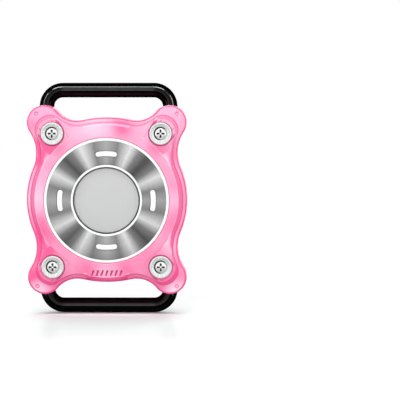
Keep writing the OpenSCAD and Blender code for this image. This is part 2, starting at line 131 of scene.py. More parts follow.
# Rear shell
REAR_EDGE_R = 0.8
REAR_WINDOW_R = 16.4
LINER_BORE_R = 17.03
SEAL_IN_R = 17.6
SEAL_OUT_R = 18.9
SEAL_DEPTH = 1.03
INLAY_IN_R = 16.9
INLAY_OUT_R = 21.1
INLAY_SEAT_R = 21.3
INLAY_DEPTH = 0.5
GROOVE_FLARE = 0.3
POCKET_DEPTH = 1.2
POCKET_R = 3.45
POCKET_LEG_HALF_W = 2.4
ACCENT_R = 23.3
ACCENT_L = 6.4
ACCENT_W = 1.2
ACCENT_END_R = 0.5
ACCENT_DEPTH = 0.4
COVER_INSERT_R = 1.59
COVER_INSERT_Z = 2.0
LOOP_INSERT_R = 1.84
LOOP_INSERT_TOP_Z = 5.0

# Medallion and inlay
MEDALLION_R = 14.25
MEDALLION_FACE_R = 12.95
MEDALLION_Z = -1.0
MEDALLION_SEAT = 0.6
TURNED_R = 6.2
TURNED_PITCH = 0.68
TURNED_DEPTH = 0.11
EYELET_X = 8.5
EYELET_W = 2.7
EYELET_H = 6.4
EYELET_Z = -0.6
EYELET_FLARE = 0.12
BAR_PITCH = 1.98
BAR_GAP_SHARE = 0.36
BAR_RELIEF = 0.15
INLAY_MARGIN = 0.25
TICK_R = 10.75
TICK_L = 1.3
TICK_W = 0.16
TICK_STEP = 3
TICK_REACH = 48

# Steel ring, window and front liner
STEEL_OUT_R = 17.2
STEEL_IN_R = 10.3
WINDOW_R = 9.2
WINDOW_EDGE_R = 9.65
WINDOW_PRINT_R = 9.3
WINDOW_Z = 10.35
WINDOW_TOP_Z = 10.9
LINER_R = 18.0
SLOT_R = 13.5
SLOT_W = 1.65
SLOT_SPAN = 19.95
PAD_TOP_Z = 10.83
FIT = 0.03

# Strap loops and screws
ROD_R = 2.15
ROD_Z = -1.05
BAR_Y = 31.7
BEND_R = 4.8
EYE_R = 3.2
EYE_Z = 1.15
EYE_BACK_Z = -1.8
EYE_SEAT_Z = -0.9
EYE_WELL_FLARE = 0.15
NECK_Y = 2.45
NECK_L = 0.9
NECK_R = 1.46
LOOP_SHANK_R = 1.25
LOOP_HEAD_R = 2.25
LOOP_HEAD_H = 1.3
LOOP_SHANK_L = 5.6
LOOP_HOLE_R = 1.33
COVER_SHANK_R = 1.0
COVER_HEAD_R = 1.55
COVER_HEAD_H = 1.0
COVER_SHANK_L = 7.8
CUP_R = 3.23
CUP_WELL_R = 1.95
CUP_RIM_R = 2.75
CUP_DISH_DEPTH = 0.25
THREAD_START = 0.6
THREAD_PITCH = 0.4
THREAD_DEPTH = 0.12
CROSS_IN = 0.2
CROSS_OUT = 0.66
CROSS_HALF_W = 0.13
CROSS_DEPTH = 0.3
PIT_PLACE = 0.54
COVER_PIT_R = 0.2
LOOP_PIT_R = 0.1
# Turn of the side of the cups' wells that gets a painted shadow
WELL_SHADE_TURN = 155
LOOP_DISH_R = 1.45
DISH_DEPTH = 0.2

# Screws as place, height of the seat, turn about x, look of the painted shade in the cross, head's radius,
# height and dome, shank's radius and length, and radius of the pits and of the dish
SCREWS = {
    "loop_screw": (
        LOOP_SCREW, EYE_SEAT_Z, 180, "painted_cross_shade",
        (LOOP_HEAD_R, LOOP_HEAD_H, 0.25), (LOOP_SHANK_R, LOOP_SHANK_L), (LOOP_PIT_R, LOOP_DISH_R),
    ),
    "cover_screw": (
        COVER_SCREW, COVER_SEAT_Z, 0, "shaded",
        (COVER_HEAD_R, COVER_HEAD_H, 0.2), (COVER_SHANK_R, COVER_SHANK_L), (COVER_PIT_R, 0),
    ),
}

# Tag
TAG_R = 15.95
TAG_EDGE_R = 3
TAG_BROW_R = 1
TAG_LIP_Z = 9.2
TAG_OPENING_R = 12.98
TAG_FLOOR_Z = 2.4
BATTERY_COVER_R = 12.92
BATTERY_COVER_Z = 8.75
BATTERY_SKIRT_R = 12.22
BAYONET_R = 13.67
BAYONET_Z = 8.2
BAYONET_T = 0.4
BAYONET_LIP_Z = 8.7
BAYONET_SPAN = 18
NOTCH_SPAN = 22
NOTCH_TURN = 25
TAB_TURNS = (90, 210, 330)
BOARD_R = 12.97
BOARD_Z = 4.4
BOARD_LEDGE_W = 0.9
CAVITY_R = 16.2

# Camera and stage, in metres and degrees
LENS_MM = 146.3
CAMERA_PLACE = (0.0301, -0.473, 0.0652)
CAMERA_YAW = -0.391
CAMERA_PITCH = -3.825
FLOOR_R = 0.3
# Floor colours: near the object a cyan tint, painted against the pink light bounced from the case
FLOOR_NEAR_COUNTER_TINT = (0.87, 0.94, 0.925)
FLOOR_FAR = (0.86, 0.86, 0.86)
FLOOR_NEAR_R = 0.06
FLOOR_IOR = 1.03
SOFT_LIGHT = 0.55
GLOSSY_LIGHT = 0.03

# Backdrops that gloss mirrors as white, before and behind the object, as sines of their bounds
BACKDROP_LOW = -0.12
BACKDROP_HIGH = 0.55
BACKDROP_SIDE = 0.6
BACKDROP_BLUR = 0.12

# Lamps as place, width, height, brightness, and whether glossy surfaces mirror them
LAMPS = {
    "front_strip": ((-0.05, -0.66, 0.91), 1.1, 0.18, 9, True),
    "front_left_strip": ((-0.69, -0.58, 0.12), 0.07, 0.9, 8, True),
    "front_right_strip": ((0.69, -0.58, 0.12), 0.07, 0.9, 8, True),
    "front_fill": ((0.1, -1.1, 0.3), 1.0, 0.8, 0.1, False),
    "overhead": ((0.0, -0.1, 1.1), 0.8, 0.4, 1, False),
    "rear_strip": ((0.05, 0.66, 0.91), 1.1, 0.22, 6.5, True),
    "rear_left_strip": ((0.69, 0.58, 0.12), 0.05, 0.9, 6.5, True),
    "rear_right_strip": ((-0.69, 0.58, 0.12), 0.05, 0.9, 6.5, True),
    "rear_fill": ((-0.1, 1.1, 0.3), 1.0, 0.8, 0.15, False),
}

# Points round a full turn
TURN_STEPS = 192
STEEL_STEPS = 256
EYE_STEPS = 128
SMALL_STEPS = 96
HOLE_STEPS = 64
ROD_SIDES = 64
DIMPLE_STEPS = 48
PIT_STEPS = 24

# Length past a face for clean cuts, slack of the tests that pick faces, quarters of a turn,
# and the angle from which an edge is shown sharp
OVERRUN = 1.0
SLACK = 0.05
FINE_SLACK = 0.02
QUARTERS = (0, 90, 180, 270)
SMOOTH_ANGLE = 30


# Outlines

def arc(centre, r, start, end, count):
    """Points along an arc, angles in degrees, without its last one."""
    angles = [math.radians(start + (end - start) * i / count) for i in range(count)]
    return [Vector((centre[0] + r * math.cos(a), centre[1] + r * math.sin(a))) for a in angles]


def bearing(p, q):
    return math.degrees(math.atan2(q[1] - p[1], q[0] - p[0]))


def turned(p, degrees):
    return Matrix.Rotation(math.radians(degrees), 2) @ p


def meet(p, p_r, q, q_r, side):
    """Where two circles meet, on the left of the line from p to q, or on its right where side is -1."""
    d = (q - p).length
    along = (q - p) / d
    a = (p_r * p_r - q_r * q_r + d * d) / (2 * d)
    h = side * math.sqrt(p_r * p_r - a * a)
    return p + a * along + h * Vector((-along.y, along.x))


def lobed(side_in, end_in, lobe, lobe_r):
    """Closed outline of four lobes joined by hollows and bulges, always of the same number of points.
    It lies inside the case's outline by side_in at the sides and by end_in at the top and bottom."""
    side_r = SIDE_BULGE_R - side_in
    end_r = END_BULGE_R - end_in
    waist_r = SIDE_HOLLOW_R + side_in
    neck_r = END_HOLLOW_R + end_in
    top = Vector((0, HALF_H - end_in))
    side = Vector((HALF_W - side_in - side_r, 0))
    end = Vector((0, HALF_H - end_in - end_r))
    waist = meet(side, side_r + waist_r, lobe, lobe_r + waist_r, -1)
    neck = meet(end, end_r + neck_r, lobe, lobe_r + neck_r, 1)
    quarter = arc(side, side_r, 0, bearing(side, waist), 22)
    quarter += arc(waist, waist_r, bearing(waist, side) + 360, bearing(waist, lobe), 22)
    quarter += arc(lobe, lobe_r, bearing(lobe, waist), bearing(lobe, neck), 44)
    quarter += arc(neck, neck_r, bearing(neck, lobe), bearing(neck, end), 22)
    quarter += arc(end, end_r, bearing(end, neck), 90, 18)
    upper = quarter + [top] + [Vector((-p.x, p.y)) for p in reversed(quarter[1:])]
    return upper + [-p for p in upper]


def case_outline(inset=0.0):
    return lobed(inset, inset, LOOP_SCREW, LOBE_R - inset)


def plateau_outline(inset):
    return lobed(SIDE_RIM_W + inset, END_RIM_W + inset, COVER_SCREW, CORNER_R - inset)


def rectangle(low_x, high_x, low_y, high_y):
    return [Vector(p) for p in ((low_x, low_y), (high_x, low_y), (high_x, high_y), (low_x, high_y))]


def circle_like(outline, r):
    """A circle with one point for each point of an outline, each in the same direction."""
    return [p.normalized() * r for p in outline]


def mixed(outline_a, outline_b, share):
    return [a.lerp(b, share) for a, b in zip(outline_a, outline_b)]


def slot_outline(inset, turn):
    """Curved slot with round ends, its middle turned away from the x axis."""
    r = SLOT_W / 2 - inset
    half = SLOT_SPAN / 2
    middle = Vector((SLOT_R, 0))
    points = arc((0, 0), SLOT_R + r, -half, half, 16)
    points += arc(turned(middle, half), r, half, half + 180, 16)
    points += arc((0, 0), SLOT_R - r, half, -half, 16)
    points += arc(turned(middle, -half), r, 180 - half, 360 - half, 16)
    return [turned(p, turn) for p in points]


def slope_share(t, blend=0.18):
    """Rise from 0 to 1 along a slope with a straight flank and short rounded ends."""
    if t < blend:
        return t * t / (2 * blend * (1 - blend))
    if t > 1 - blend:
        return 1 - slope_share(1 - t, blend)
    return (t - blend / 2) / (1 - blend)


# Solids

def new_object(name, vertices, faces):
    mesh = bpy.data.meshes.new(name)
    mesh.from_pydata([tuple(v) for v in vertices], [], faces)
    obj = bpy.data.objects.new(name, mesh)
    bpy.context.scene.collection.objects.link(obj)
    tidy_faces(obj)
    return obj


def tidy_faces(obj):
    """Welds doubled points and turns every face outwards."""
    work = bmesh.new()
    work.from_mesh(obj.data)
    bmesh.ops.remove_doubles(work, verts=work.verts, dist=1e-5)
    bmesh.ops.recalc_face_normals(work, faces=work.faces)
    work.to_mesh(obj.data)
    work.free()


def loft(name, loops, closed=False):
    """Skin over loops of (x, y, z) points of equal count, capped at both ends or closed on itself."""
    count = len(loops[0])
    vertices = [point for loop in loops for point in loop]
    faces = []
    for i in range(len(loops) if closed else len(loops) - 1):
        a = i * count
        b = (i + 1) % len(loops) * count
        for j in range(count):
            k = (j + 1) % count
            faces.append((a + j, a + k, b + k, b + j))
    if not closed:
        faces.append(tuple(reversed(range(count))))
        faces.append(tuple(range(len(vertices) - count, len(vertices))))
    return new_object(name, vertices, faces)


def tiered(name, outline_at, *levels):
    """Loft through levels of (size, z), where outline_at(size) draws the outline of each."""
    return loft(name, [at_height(outline_at(size), z) for size, z in levels])


def at_height(outline, z):
    return [(p[0], p[1], z) for p in outline]


def prism(name, outline, z, top):
    return loft(name, [at_height(outline, z), at_height(outline, top)])


def revolve(name, profile, radii=None, centre=(0, 0), steps=TURN_STEPS):
    """Closed solid from an outline of (r, z) points turned about z. Points with r 0 become one point.
    radii names the corners of the outline that are rounded, by index."""
    vertices = []
    rings = []
    for r, z in softened(profile, radii or {}):
        if r == 0:
            rings.append([len(vertices)] * steps)
            vertices.append((centre[0], centre[1], z))
            continue
        rings.append(list(range(len(vertices), len(vertices) + steps)))
        vertices += [(p.x, p.y, z) for p in arc(centre, r, 0, 360, steps)]
    faces = []
    for i, ring in enumerate(rings):
        after = rings[(i + 1) % len(rings)]
        if ring[0] == ring[1] and after[0] == after[1]:
            continue
        for j in range(steps):
            k = (j + 1) % steps
            corners = dict.fromkeys((ring[j], ring[k], after[k], after[j]))
            faces.append(tuple(corners))
    return new_object(name, vertices, faces)


def rounded(corner, before, after, r, steps=5):
    """Points of a fillet at a profile's corner, between the points before and after it."""
    corner, before, after = Vector(corner), Vector(before), Vector(after)
    start = corner + (before - corner).normalized() * r
    end = corner + (after - corner).normalized() * r
    points = []
    for i in range(steps + 1):
        t = i / steps
        points.append(tuple(start * (1 - t) ** 2 + corner * 2 * t * (1 - t) + end * t * t))
    return points


def softened(profile, radii):
    """A closed profile with the corners named in radii, by index, rounded."""
    points = []
    for i, corner in enumerate(profile):
        r = radii.get(i, 0)
        if r:
            points += rounded(corner, profile[i - 1], profile[(i + 1) % len(profile)], r)
        else:
            points.append(corner)
    return points


def combine(target, tool, operation):
    """Cuts, joins or intersects two closed solids, and removes the tool."""
    modifier = target.modifiers.new("combine", "BOOLEAN")
    modifier.object = tool
    modifier.operation = operation
    modifier.solver = "MANIFOLD"
    bpy.context.view_layer.update()
    graph = bpy.context.evaluated_depsgraph_get()
    made = bpy.data.meshes.new_from_object(target.evaluated_get(graph))
    target.modifiers.clear()
    if not made.polygons:
        raise RuntimeError(f"{target.name}: the {operation} with {tool.name} left nothing")
    target.data = made
    bpy.data.objects.remove(tool)
    return target


def cut(target, *tools):
    for tool in tools:
        combine(target, tool, "DIFFERENCE")
    return target


def join(target, *tools):
    for tool in tools:
        combine(target, tool, "UNION")
    return target


def gather(name, objects):
    """Solids that stay apart, as one object."""
    work = bmesh.new()
    for obj in objects:
        work.from_mesh(obj.data)
        bpy.data.objects.remove(obj)
    mesh = bpy.data.meshes.new(name)
    work.to_mesh(mesh)
    work.free()
    made = bpy.data.objects.new(name, mesh)
    bpy.context.scene.collection.objects.link(made)
    return made


def flat_ring(name, hole_r, r, z, top, radii=None, centre=(0, 0), steps=TURN_STEPS):
    return revolve(name, [(hole_r, z), (r, z), (r, top), (hole_r, top)], radii, centre, steps)


def cylinder(name, r, z, top, centre=(0, 0), steps=TURN_STEPS):
    return flat_ring(name, 0, r, z, top, None, centre, steps)


def corner_place(place, corner):
    return Vector((place[0] * corner[0], place[1] * corner[1]))


def dress(mesh, *looks):
    mesh.materials.clear()
    for look in looks:
        mesh.materials.append(MATERIALS[look])


def add_piece(obj, body, look, replaces=(), inner=(), stand=Matrix()):
    """Stands a flat-drawn piece up in the frame, shades and dresses it, and makes it ride on a body.
    inner lists more looks, each with a test that picks its faces by their middle, in the piece's drawing.
    stand places a piece that is drawn on its own in the flat drawing."""
    tests = [test for extra, test in inner]
    marked = []
    for face in obj.data.polygons:
        marked.append(next((i for i, test in enumerate(tests, 1) if test(face.center)), 0))
    obj.data.transform(PLAN @ stand)
    work = bmesh.new()
    work.from_mesh(obj.data)
    bmesh.ops.recalc_face_normals(work, faces=work.faces)
    for face in work.faces:
        face.smooth = True
    for edge in work.edges:
        edge.smooth = len(edge.link_faces) == 2 and edge.calc_face_angle(0) < math.radians(SMOOTH_ANGLE)
    work.to_mesh(obj.data)
    work.free()
    dress(obj.data, look, *[extra for extra, test in inner])
    for face, index in zip(obj.data.polygons, marked):
        face.material_index = index
    if replaces:
        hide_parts(*replaces)
    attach(obj, body)


# Materials

PALE_PINK = (0.95, 0.70, 0.81)
MID_PINK = (0.95, 0.46, 0.65)
DEEP_PINK = (0.93, 0.10, 0.31)
# Painted shade on the shells: deeper towards the bottom and lighter towards the top, over a reach from the
# middle
PAINTED_LOW_SHADE = 0.16
PAINTED_SHADE_REACH = 24
# Share of the painted light and shade patches that shows on slopes
PAINTED_PATCHES_ON_SLOPES = 0.2
BLACK_TONE = 0.052
# Painted shade on the rods' sides that face the case and on their bends, with a painted highlight streak
BLACK_PAINTED_INNER_SHADE = 0.25
BEND_START = 13.3
BEND_PAINTED_SHADE_AND_STREAK = ((0.0, 0.5), (0.04, 0.2), (0.3, 0.2), (0.42, 1.8), (0.66, 1.8), (0.78, 0.4), (1.0, 0.4))

# Middle part of a noise, which holds most of it
CLOUD_SPAN = (0.3, 0.7)

# Painted shade by how squarely the surface faces the front or rear, from the sides at 0 to the flats at 1:
# deeper on slopes and sides, and on the cover a painted highlight line where its shoulder turns
FRONT_RIM_PAINTED_SHADE = ((0.0, 1.2), (0.75, 1.1), (0.9, 0.8), (0.97, 0.62), (1.0, 0.58))
FRONT_PAINTED_SHADE_AND_HIGHLIGHT = (
    (0.0, 0.8), (0.5, 0.82), (0.84, 0.84), (0.895, 0.75), (0.92, 0.1), (0.94, 0.2), (0.955, 0.64),
    (0.995, 0.66),
)
REAR_PAINTED_SHADE = ((0.0, 0.85), (0.5, 1.0), (0.8, 1.1), (0.97, 0.85), (0.998, 0.72))

# Soft patches of painted light and shade on the two shells as x, y, radius and amount: below 0 is lighter,
# above 0 deeper
FRONT_PAINTED_LIGHT_PATCHES = (
    (-4, 21.5, 8, -0.33), (4.5, 21.3, 5, 0.4), (-14, 15.3, 4, 0.25), (14, 15.3, 4, 0.25),
    (-20, 1, 7, -0.4), (-19.5, 8.5, 4, -0.15), (-19.2, -9.5, 7, 0.2), (19.5, 0, 5, -0.2),
    (0, -21, 6, -0.4), (-10, -19.5, 5, -0.12), (10, -19.5, 5, -0.12), (-22, 22, 4, 0.3),
    (22, 22, 4, 0.12), (-22, -22, 4, 0.35), (-20, -26.5, 5, -0.6), (20, -26.5, 5, -0.85),
)
WAIST_PAINTED_LIGHT_PATCHES = ((-19, 13.5, 7, 1.0), (-19, -13.5, 7, 0.5), (19, 13.5, 6, 0.3), (19, -13.5, 6, -0.25))
REAR_PAINTED_LIGHT_PATCHES = (
    (0, 24, 8, 0.25), (8, 22.5, 7, 0.13), (-8, 22.5, 7, 0.26), (0, -24, 6, -0.22),
    (8, -22.5, 7, -0.33), (-8, -22.5, 7, -0.4), (-15, -15, 7, -0.5), (14, 14, 7, -0.3),
    (15, -15, 7, -0.45), (-15, 15, 7, -0.12), (22, 12, 5, 0.3), (-22, 12, 5, 0.2),
    (22, -12, 5, 0.2), (-22, -12, 5, 0.2), (-22, -24, 7, -0.55), (22, -24, 7, -0.25),
    (22, 24, 7, -0.16), (-22, 24, 7, -0.1), (-23, 0, 6, -0.1), (23, 0, 6, -0.1),
)

# Painted highlights and shade on the medallion by share of a turn, counted from its right side as seen from
# the rear
DEEP_ROSE = (0.86, 0.07, 0.23)
MID_ROSE = (0.93, 0.27, 0.47)
WHITE_ROSE = (0.97, 0.80, 0.88)
TURNED_PAINTED_LIGHT = (
    (0.0, 1.0), (0.12, 0.95), (0.2, 0.55), (0.3, 0.1), (0.42, 0.2), (0.53, 0.45), (0.62, 0.4),
    (0.68, 0.65), (0.77, 0.3), (0.84, 0.75), (0.92, 1.05), (1.0, 1.0),
)
BEVEL_IN_PAINTED_LIGHT = (
    (0.0, 0.85), (0.03, 0.06), (0.055, 0.06), (0.085, 0.44), (0.11, 1.0), (0.14, 1.0), (0.165, 0.85),
    (0.195, 0.28), (0.305, 0.28), (0.34, 0.45), (0.45, 0.5), (0.49, 0.62), (0.53, 0.68), (0.69, 0.88),
    (0.73, 0.8), (0.83, 0.8), (0.87, 1.0), (0.97, 1.0), (1.0, 0.85),
)
BEVEL_OUT_PAINTED_LIGHT = (
    (0.0, 0.6), (0.03, 0.69), (0.14, 0.69), (0.17, 0.5), (0.25, 0.5), (0.28, 0.89), (0.47, 0.89),
    (0.54, 0.66), (0.59, 0.42), (0.67, 0.42), (0.69, 0.0), (0.725, 0.0), (0.75, 0.45), (0.78, 1.0),
    (0.81, 1.0), (0.86, 0.58), (0.89, 0.05), (0.92, 0.05), (0.95, 0.4), (1.0, 0.6),
)

# Painted reflection on the steel ring: fans of light and dark as tone by share of an eighth of a turn
STEEL_PAINTED_REFLECTION_FAN = ((0.0, 0.5), (0.3, 0.28), (0.6, 0.9), (0.8, 0.26), (1.0, 0.1))


def new_material(name):
    material = bpy.data.materials.new(name)
    material.use_nodes = True
    return material, material.node_tree.nodes["Principled BSDF"]


def feed(made, inputs):
    """Sets a node's inputs, each to a value, a colour or the socket that feeds it."""
    for name, value in inputs.items():
        socket = made.inputs[name]
        if isinstance(value, bpy.types.NodeSocket):
            made.id_data.links.new(value, socket)
        elif socket.type == "RGBA":
            socket.default_value = (*value, 1)
        else:
            socket.default_value = value


def node(kind, inputs, tree=None, **settings):
    """A shader node with its settings and inputs, in a tree given or that of the sockets that feed it."""
    fed = [value for value in inputs.values() if isinstance(value, bpy.types.NodeSocket)]
    made = (tree or fed[0].id_data).nodes.new("ShaderNode" + kind)
    for name, value in settings.items():
        setattr(made, name, value)
    feed(made, inputs)
    return made


def maths(operation, *values):
    return node("Math", dict(enumerate(values)), operation=operation).outputs[0]


def plus(a, b):
    return maths("ADD", a, b)


def times(a, b):
    return maths("MULTIPLY", a, b)


def shift(place, offset):
    return node("VectorMath", {0: place, 1: offset}, operation="ADD").outputs[0]


def split(vector):
    return node("SeparateXYZ", {0: vector}).outputs


def place_mm(shader):
    """Where a point of the surface lies in the frame, in millimetres from the middle of the case."""
    place = shift(node("TexCoord", {}, shader.id_data).outputs["Object"], (0, 0, -RISE * MM))
    return node("VectorMath", {0: place, "Scale": 1 / MM}, operation="SCALE").outputs[0]


def radius(place):
    """How far a place lies from the axis that runs from the front to the rear."""
    flat = node("VectorMath", {0: place, 1: (1, 0, 1)}, operation="MULTIPLY").outputs[0]
    return node("VectorMath", {0: flat}, operation="LENGTH").outputs["Value"]


def normal(shader):
    return split(node("NewGeometry", {}, shader.id_data).outputs["Normal"])


def noise(vector, scale, detail=2.0, roughness=0.5):
    values = {"Vector": vector, "Scale": scale, "Detail": detail, "Roughness": roughness}
    return node("TexNoise", values).outputs[0]


def ramp(factor, *stops):
    """Colour ramp through (place, colour) stops."""
    made = node("ValToRGB", {"Fac": factor})
    elements = made.color_ramp.elements
    while len(elements) < len(stops):
        elements.new(1)
    for element, (place, colour) in zip(elements, stops):
        element.position = place
        element.color = (*colour, 1)
    return made.outputs["Color"]


def grey(tone):
    return (tone, tone, tone)


def grey_ramp(factor, stops):
    return ramp(factor, *[(place, grey(tone)) for place, tone in stops])


def remap(value, low, high, to_low, to_high, smoothly=False):
    values = {"Value": value, "From Min": low, "From Max": high, "To Min": to_low, "To Max": to_high}
    kind = "SMOOTHSTEP" if smoothly else "LINEAR"
    return node("MapRange", values, interpolation_type=kind).outputs["Result"]


def clouds(place, scale, detail, low, high):
    """Clouds that run from one value to another."""
    return remap(noise(place, scale, detail), *CLOUD_SPAN, low, high)


def tinted(cloud, dark, light):
    """Clouds as a blend of two colours."""
    return ramp(cloud, (CLOUD_SPAN[0], dark), (CLOUD_SPAN[1], light))


def blend_value(factor, a, b):
    """Two values mixed, the second where the factor is 1."""
    return node("Mix", {0: factor, 2: a, 3: b}, data_type="FLOAT").outputs[0]


def blend_colour(factor, a, b, blend="MIX"):
    """Two colours mixed: sockets 6 and 7 are the node's colours, and 2 its colour result."""
    return node("Mix", {0: factor, 6: a, 7: b}, data_type="RGBA", blend_type=blend).outputs[2]


def bump(height, distance_mm, strength):
    values = {"Height": height, "Distance": distance_mm * MM, "Strength": strength}
    return node("Bump", values).outputs["Normal"]


def grain(place, scale, detail, distance_mm, strength):
    return bump(noise(place, scale, detail), distance_mm, strength)


def patch(place, x, y, r, amount):
    """Soft round patch on the flat drawing: amount in its middle, 0 from its radius outwards."""
    return remap(radius(shift(place, (-x, 0, -y))), 0, r, amount, 0, True)


def shell_plastic(name, painted_slope_shade, patches, painted_rim_shade=(), waist_patches=()):
    """Glossy, slightly translucent plastic. Painted shade deepens it on slopes, sides and bottom, lightens
    it at the top, and a painted highlight line runs along the cover's shoulder; soft patches of painted
    light and shade are fainter on slopes. painted_rim_shade holds below the cover's slope, waist_patches
    outside its collar."""
    material, shader = new_material(name)
    place = place_mm(shader)
    x, y, z = split(place)
    flatness = maths("ABSOLUTE", normal(shader)[1])
    # Painted shade on slopes and sides, and on the cover a painted highlight line along its shoulder
    tone = grey_ramp(flatness, painted_slope_shade)
    if painted_rim_shade:
        rim_y = MID_Z - RIM_Z
        raised = remap(y, rim_y - 0.2, rim_y - 0.4, 0, 1)
        tone = blend_value(raised, grey_ramp(flatness, painted_rim_shade), tone)
    # Painted shade: deeper towards the bottom, lighter towards the top
    tone = plus(tone, remap(z, -PAINTED_SHADE_REACH, PAINTED_SHADE_REACH, PAINTED_LOW_SHADE, -PAINTED_LOW_SHADE))
    # Random clouds, plus soft patches of painted light and shade
    cloud = clouds(place, 0.12, 3, -0.08, 0.08)
    for spot in patches:
        cloud = plus(cloud, patch(place, *spot))
    outside = remap(radius(place), COLLAR_R, COLLAR_R + COLLAR_W, 0, 1)
    for spot in waist_patches:
        cloud = plus(cloud, times(outside, patch(place, *spot)))
    tone = plus(tone, times(cloud, remap(flatness, 0.9, 0.98, PAINTED_PATCHES_ON_SLOPES, 1)))
    feed(shader, {
        "Base Color": ramp(tone, (0.0, PALE_PINK), (0.4, MID_PINK), (1.0, DEEP_PINK)),
        "Roughness": clouds(place, 0.6, 3, 0.12, 0.2),
        "Normal": grain(place, 1.2, 2, 0.012, 0.5),
        "Subsurface Weight": 0.2,
        "Subsurface Radius": (1.0, 0.45, 0.6),
        "Subsurface Scale": 0.5 * MM,
        "Coat Weight": 0.4,
        "Coat Roughness": 0.04,
    })
    return material


def woven_inlay():
    """Deep pink bars with a fine weave that runs along and across their slant."""
    material, shader = new_material("woven_inlay")
    x, y, z = split(place_mm(shader))
    along = maths("SUBTRACT", z, x)
    across = plus(z, x)
    weave = times(maths("SINE", times(along, 15.0)), maths("SINE", times(across, 11.0)))
    streaks = noise(node("CombineXYZ", {0: times(along, 0.5), 1: across}).outputs[0], 3.0, 3)
    depth = plus(times(weave, 0.3), streaks)
    feed(shader, {
        "Base Color": ramp(depth, (0.1, (0.86, 0.04, 0.22)), (0.9, (0.93, 0.14, 0.36))),
        "Roughness": remap(weave, -1, 1, 0.42, 0.28),
        "Normal": bump(weave, 0.03, 0.8),
    })
    return material


def turning_lines(r, per_mm, detail, roughness):
    """Fine circular lines, as turning leaves them."""
    return noise(node("CombineXYZ", {0: times(r, per_mm)}).outputs[0], 1.0, detail, roughness)


def medallion_metal():
    """Anodised disc: a soft-gloss face, and a polished bevel and turned grooves that carry painted
    highlights and shade.
    """
    material, shader = new_material("medallion_metal")
    place = place_mm(shader)
    x, y, z = split(place)
    r = radius(place)
    around = maths("FRACT", maths("DIVIDE", maths("ARCTAN2", z, times(x, -1)), 2 * math.pi))
    turning = turning_lines(r, 9.0, 4, 0.7)
    # Painted highlights and shade: bright and deep rings over the turned grooves, fans round them, and arcs
    # round the bevel
    wave = maths("COSINE", times(r, 2 * math.pi / TURNED_PITCH))
    painted_groove_light = plus(grey_ramp(around, TURNED_PAINTED_LIGHT), times(wave, 0.4))
    bevel_middle = (MEDALLION_FACE_R + MEDALLION_R) / 2
    outer = remap(r, bevel_middle - 0.25, bevel_middle + 0.15, 0, 1, True)
    painted_bevel_light = blend_value(outer, grey_ramp(around, BEVEL_IN_PAINTED_LIGHT), grey_ramp(around, BEVEL_OUT_PAINTED_LIGHT))
    in_grooves = remap(r, TURNED_R - 0.1, TURNED_R, 1, 0)
    bevel = remap(r, MEDALLION_FACE_R - 0.25, MEDALLION_FACE_R + 0.1, 0, 1, True)
    depth = blend_value(in_grooves, painted_bevel_light, painted_groove_light)
    painted_sheen = ramp(depth, (0.08, DEEP_ROSE), (0.58, MID_ROSE), (1.0, WHITE_ROSE))
    face = tinted(turning, (0.92, 0.50, 0.67), (0.97, 0.60, 0.75))
    feed(shader, {
        "Base Color": blend_colour(maths("MAXIMUM", in_grooves, bevel), face, painted_sheen),
        "Roughness": remap(bevel, 0, 1, 0.38, 0.15),
        "Normal": bump(turning, 0.006, 0.35),
        "Metallic": remap(bevel, 0, 1, 0.3, 0),
        "Coat Weight": 0.2,
        "Coat Roughness": 0.1,
    })
    return material


def turned_steel():
    """Turned steel: fine circular lines, fans of light and dark painted into its colour as painted
    reflection, and real anisotropic gloss.
    """
    material, shader = new_material("turned_steel")
    place = place_mm(shader)
    x, y, z = split(place)
    angle = maths("ARCTAN2", z, x)
    wobble = times(maths("SINE", plus(angle, 0.8)), 0.03)
    share = maths("DIVIDE", plus(maths("PINGPONG", angle, math.pi / 4), wobble), math.pi / 4)
    turning = turning_lines(radius(place), 14.0, 5, 0.8)
    lines = tinted(turning, grey(0.72), grey(1.0))
    tangent = node("Tangent", {}, shader.id_data, direction_type="RADIAL", axis="Y")
    # Base colour: the painted reflection fans, times the turning lines
    feed(shader, {
        "Base Color": blend_colour(1.0, grey_ramp(share, STEEL_PAINTED_REFLECTION_FAN), lines, "MULTIPLY"),
        "Roughness": remap(turning, *CLOUD_SPAN, 0.22, 0.34),
        "Normal": bump(turning, 0.01, 0.5),
        "Metallic": 0.6,
        "Anisotropic": 0.6,
        "Tangent": tangent.outputs[0],
    })
    return material


def black_coating():
    """Glossy black, worked out as a very dark metal so that its outline stays dark. Painted shade makes it
    darker still on the sides that face the case, and on the bends but for a painted highlight streak along
    their outside."""
    material, shader = new_material("black_coating")
    place = place_mm(shader)
    x, y, z = split(place)
    normal_x, normal_y, normal_z = normal(shader)
    sideways = times(normal_x, maths("SIGN", x))
    upwards = times(normal_z, maths("SIGN", z))
    tilt = maths("SQRT", maths("SUBTRACT", 1, times(normal_y, normal_y)))
    outward = times(tilt, maths("SIGN", plus(sideways, upwards)))
    on_bend = remap(maths("ABSOLUTE", x), BEND_START - 0.5, BEND_START + 1, 0, 1, True)
    # Painted shade on the bends with a painted highlight streak on their outside, and painted shade facing
    # the case
    painted_bend_shade_and_streak = blend_value(on_bend, 1, grey_ramp(outward, BEND_PAINTED_SHADE_AND_STREAK))
    painted_inner_shade = remap(outward, -0.5, 0.0, BLACK_PAINTED_INNER_SHADE, 1, True)
    tone = clouds(place, 0.8, 3, 0.9 * BLACK_TONE, 1.1 * BLACK_TONE)
    feed(shader, {
        "Base Color": times(times(tone, painted_inner_shade), painted_bend_shade_and_streak),
        "Roughness": clouds(place, 1.2, 3, 0.07, 0.12),
        "Normal": grain(place, 0.9, 2, 0.02, 0.3),
        "Metallic": 1.0,
        "Specular Tint": grey(0.05),
    })
    return material


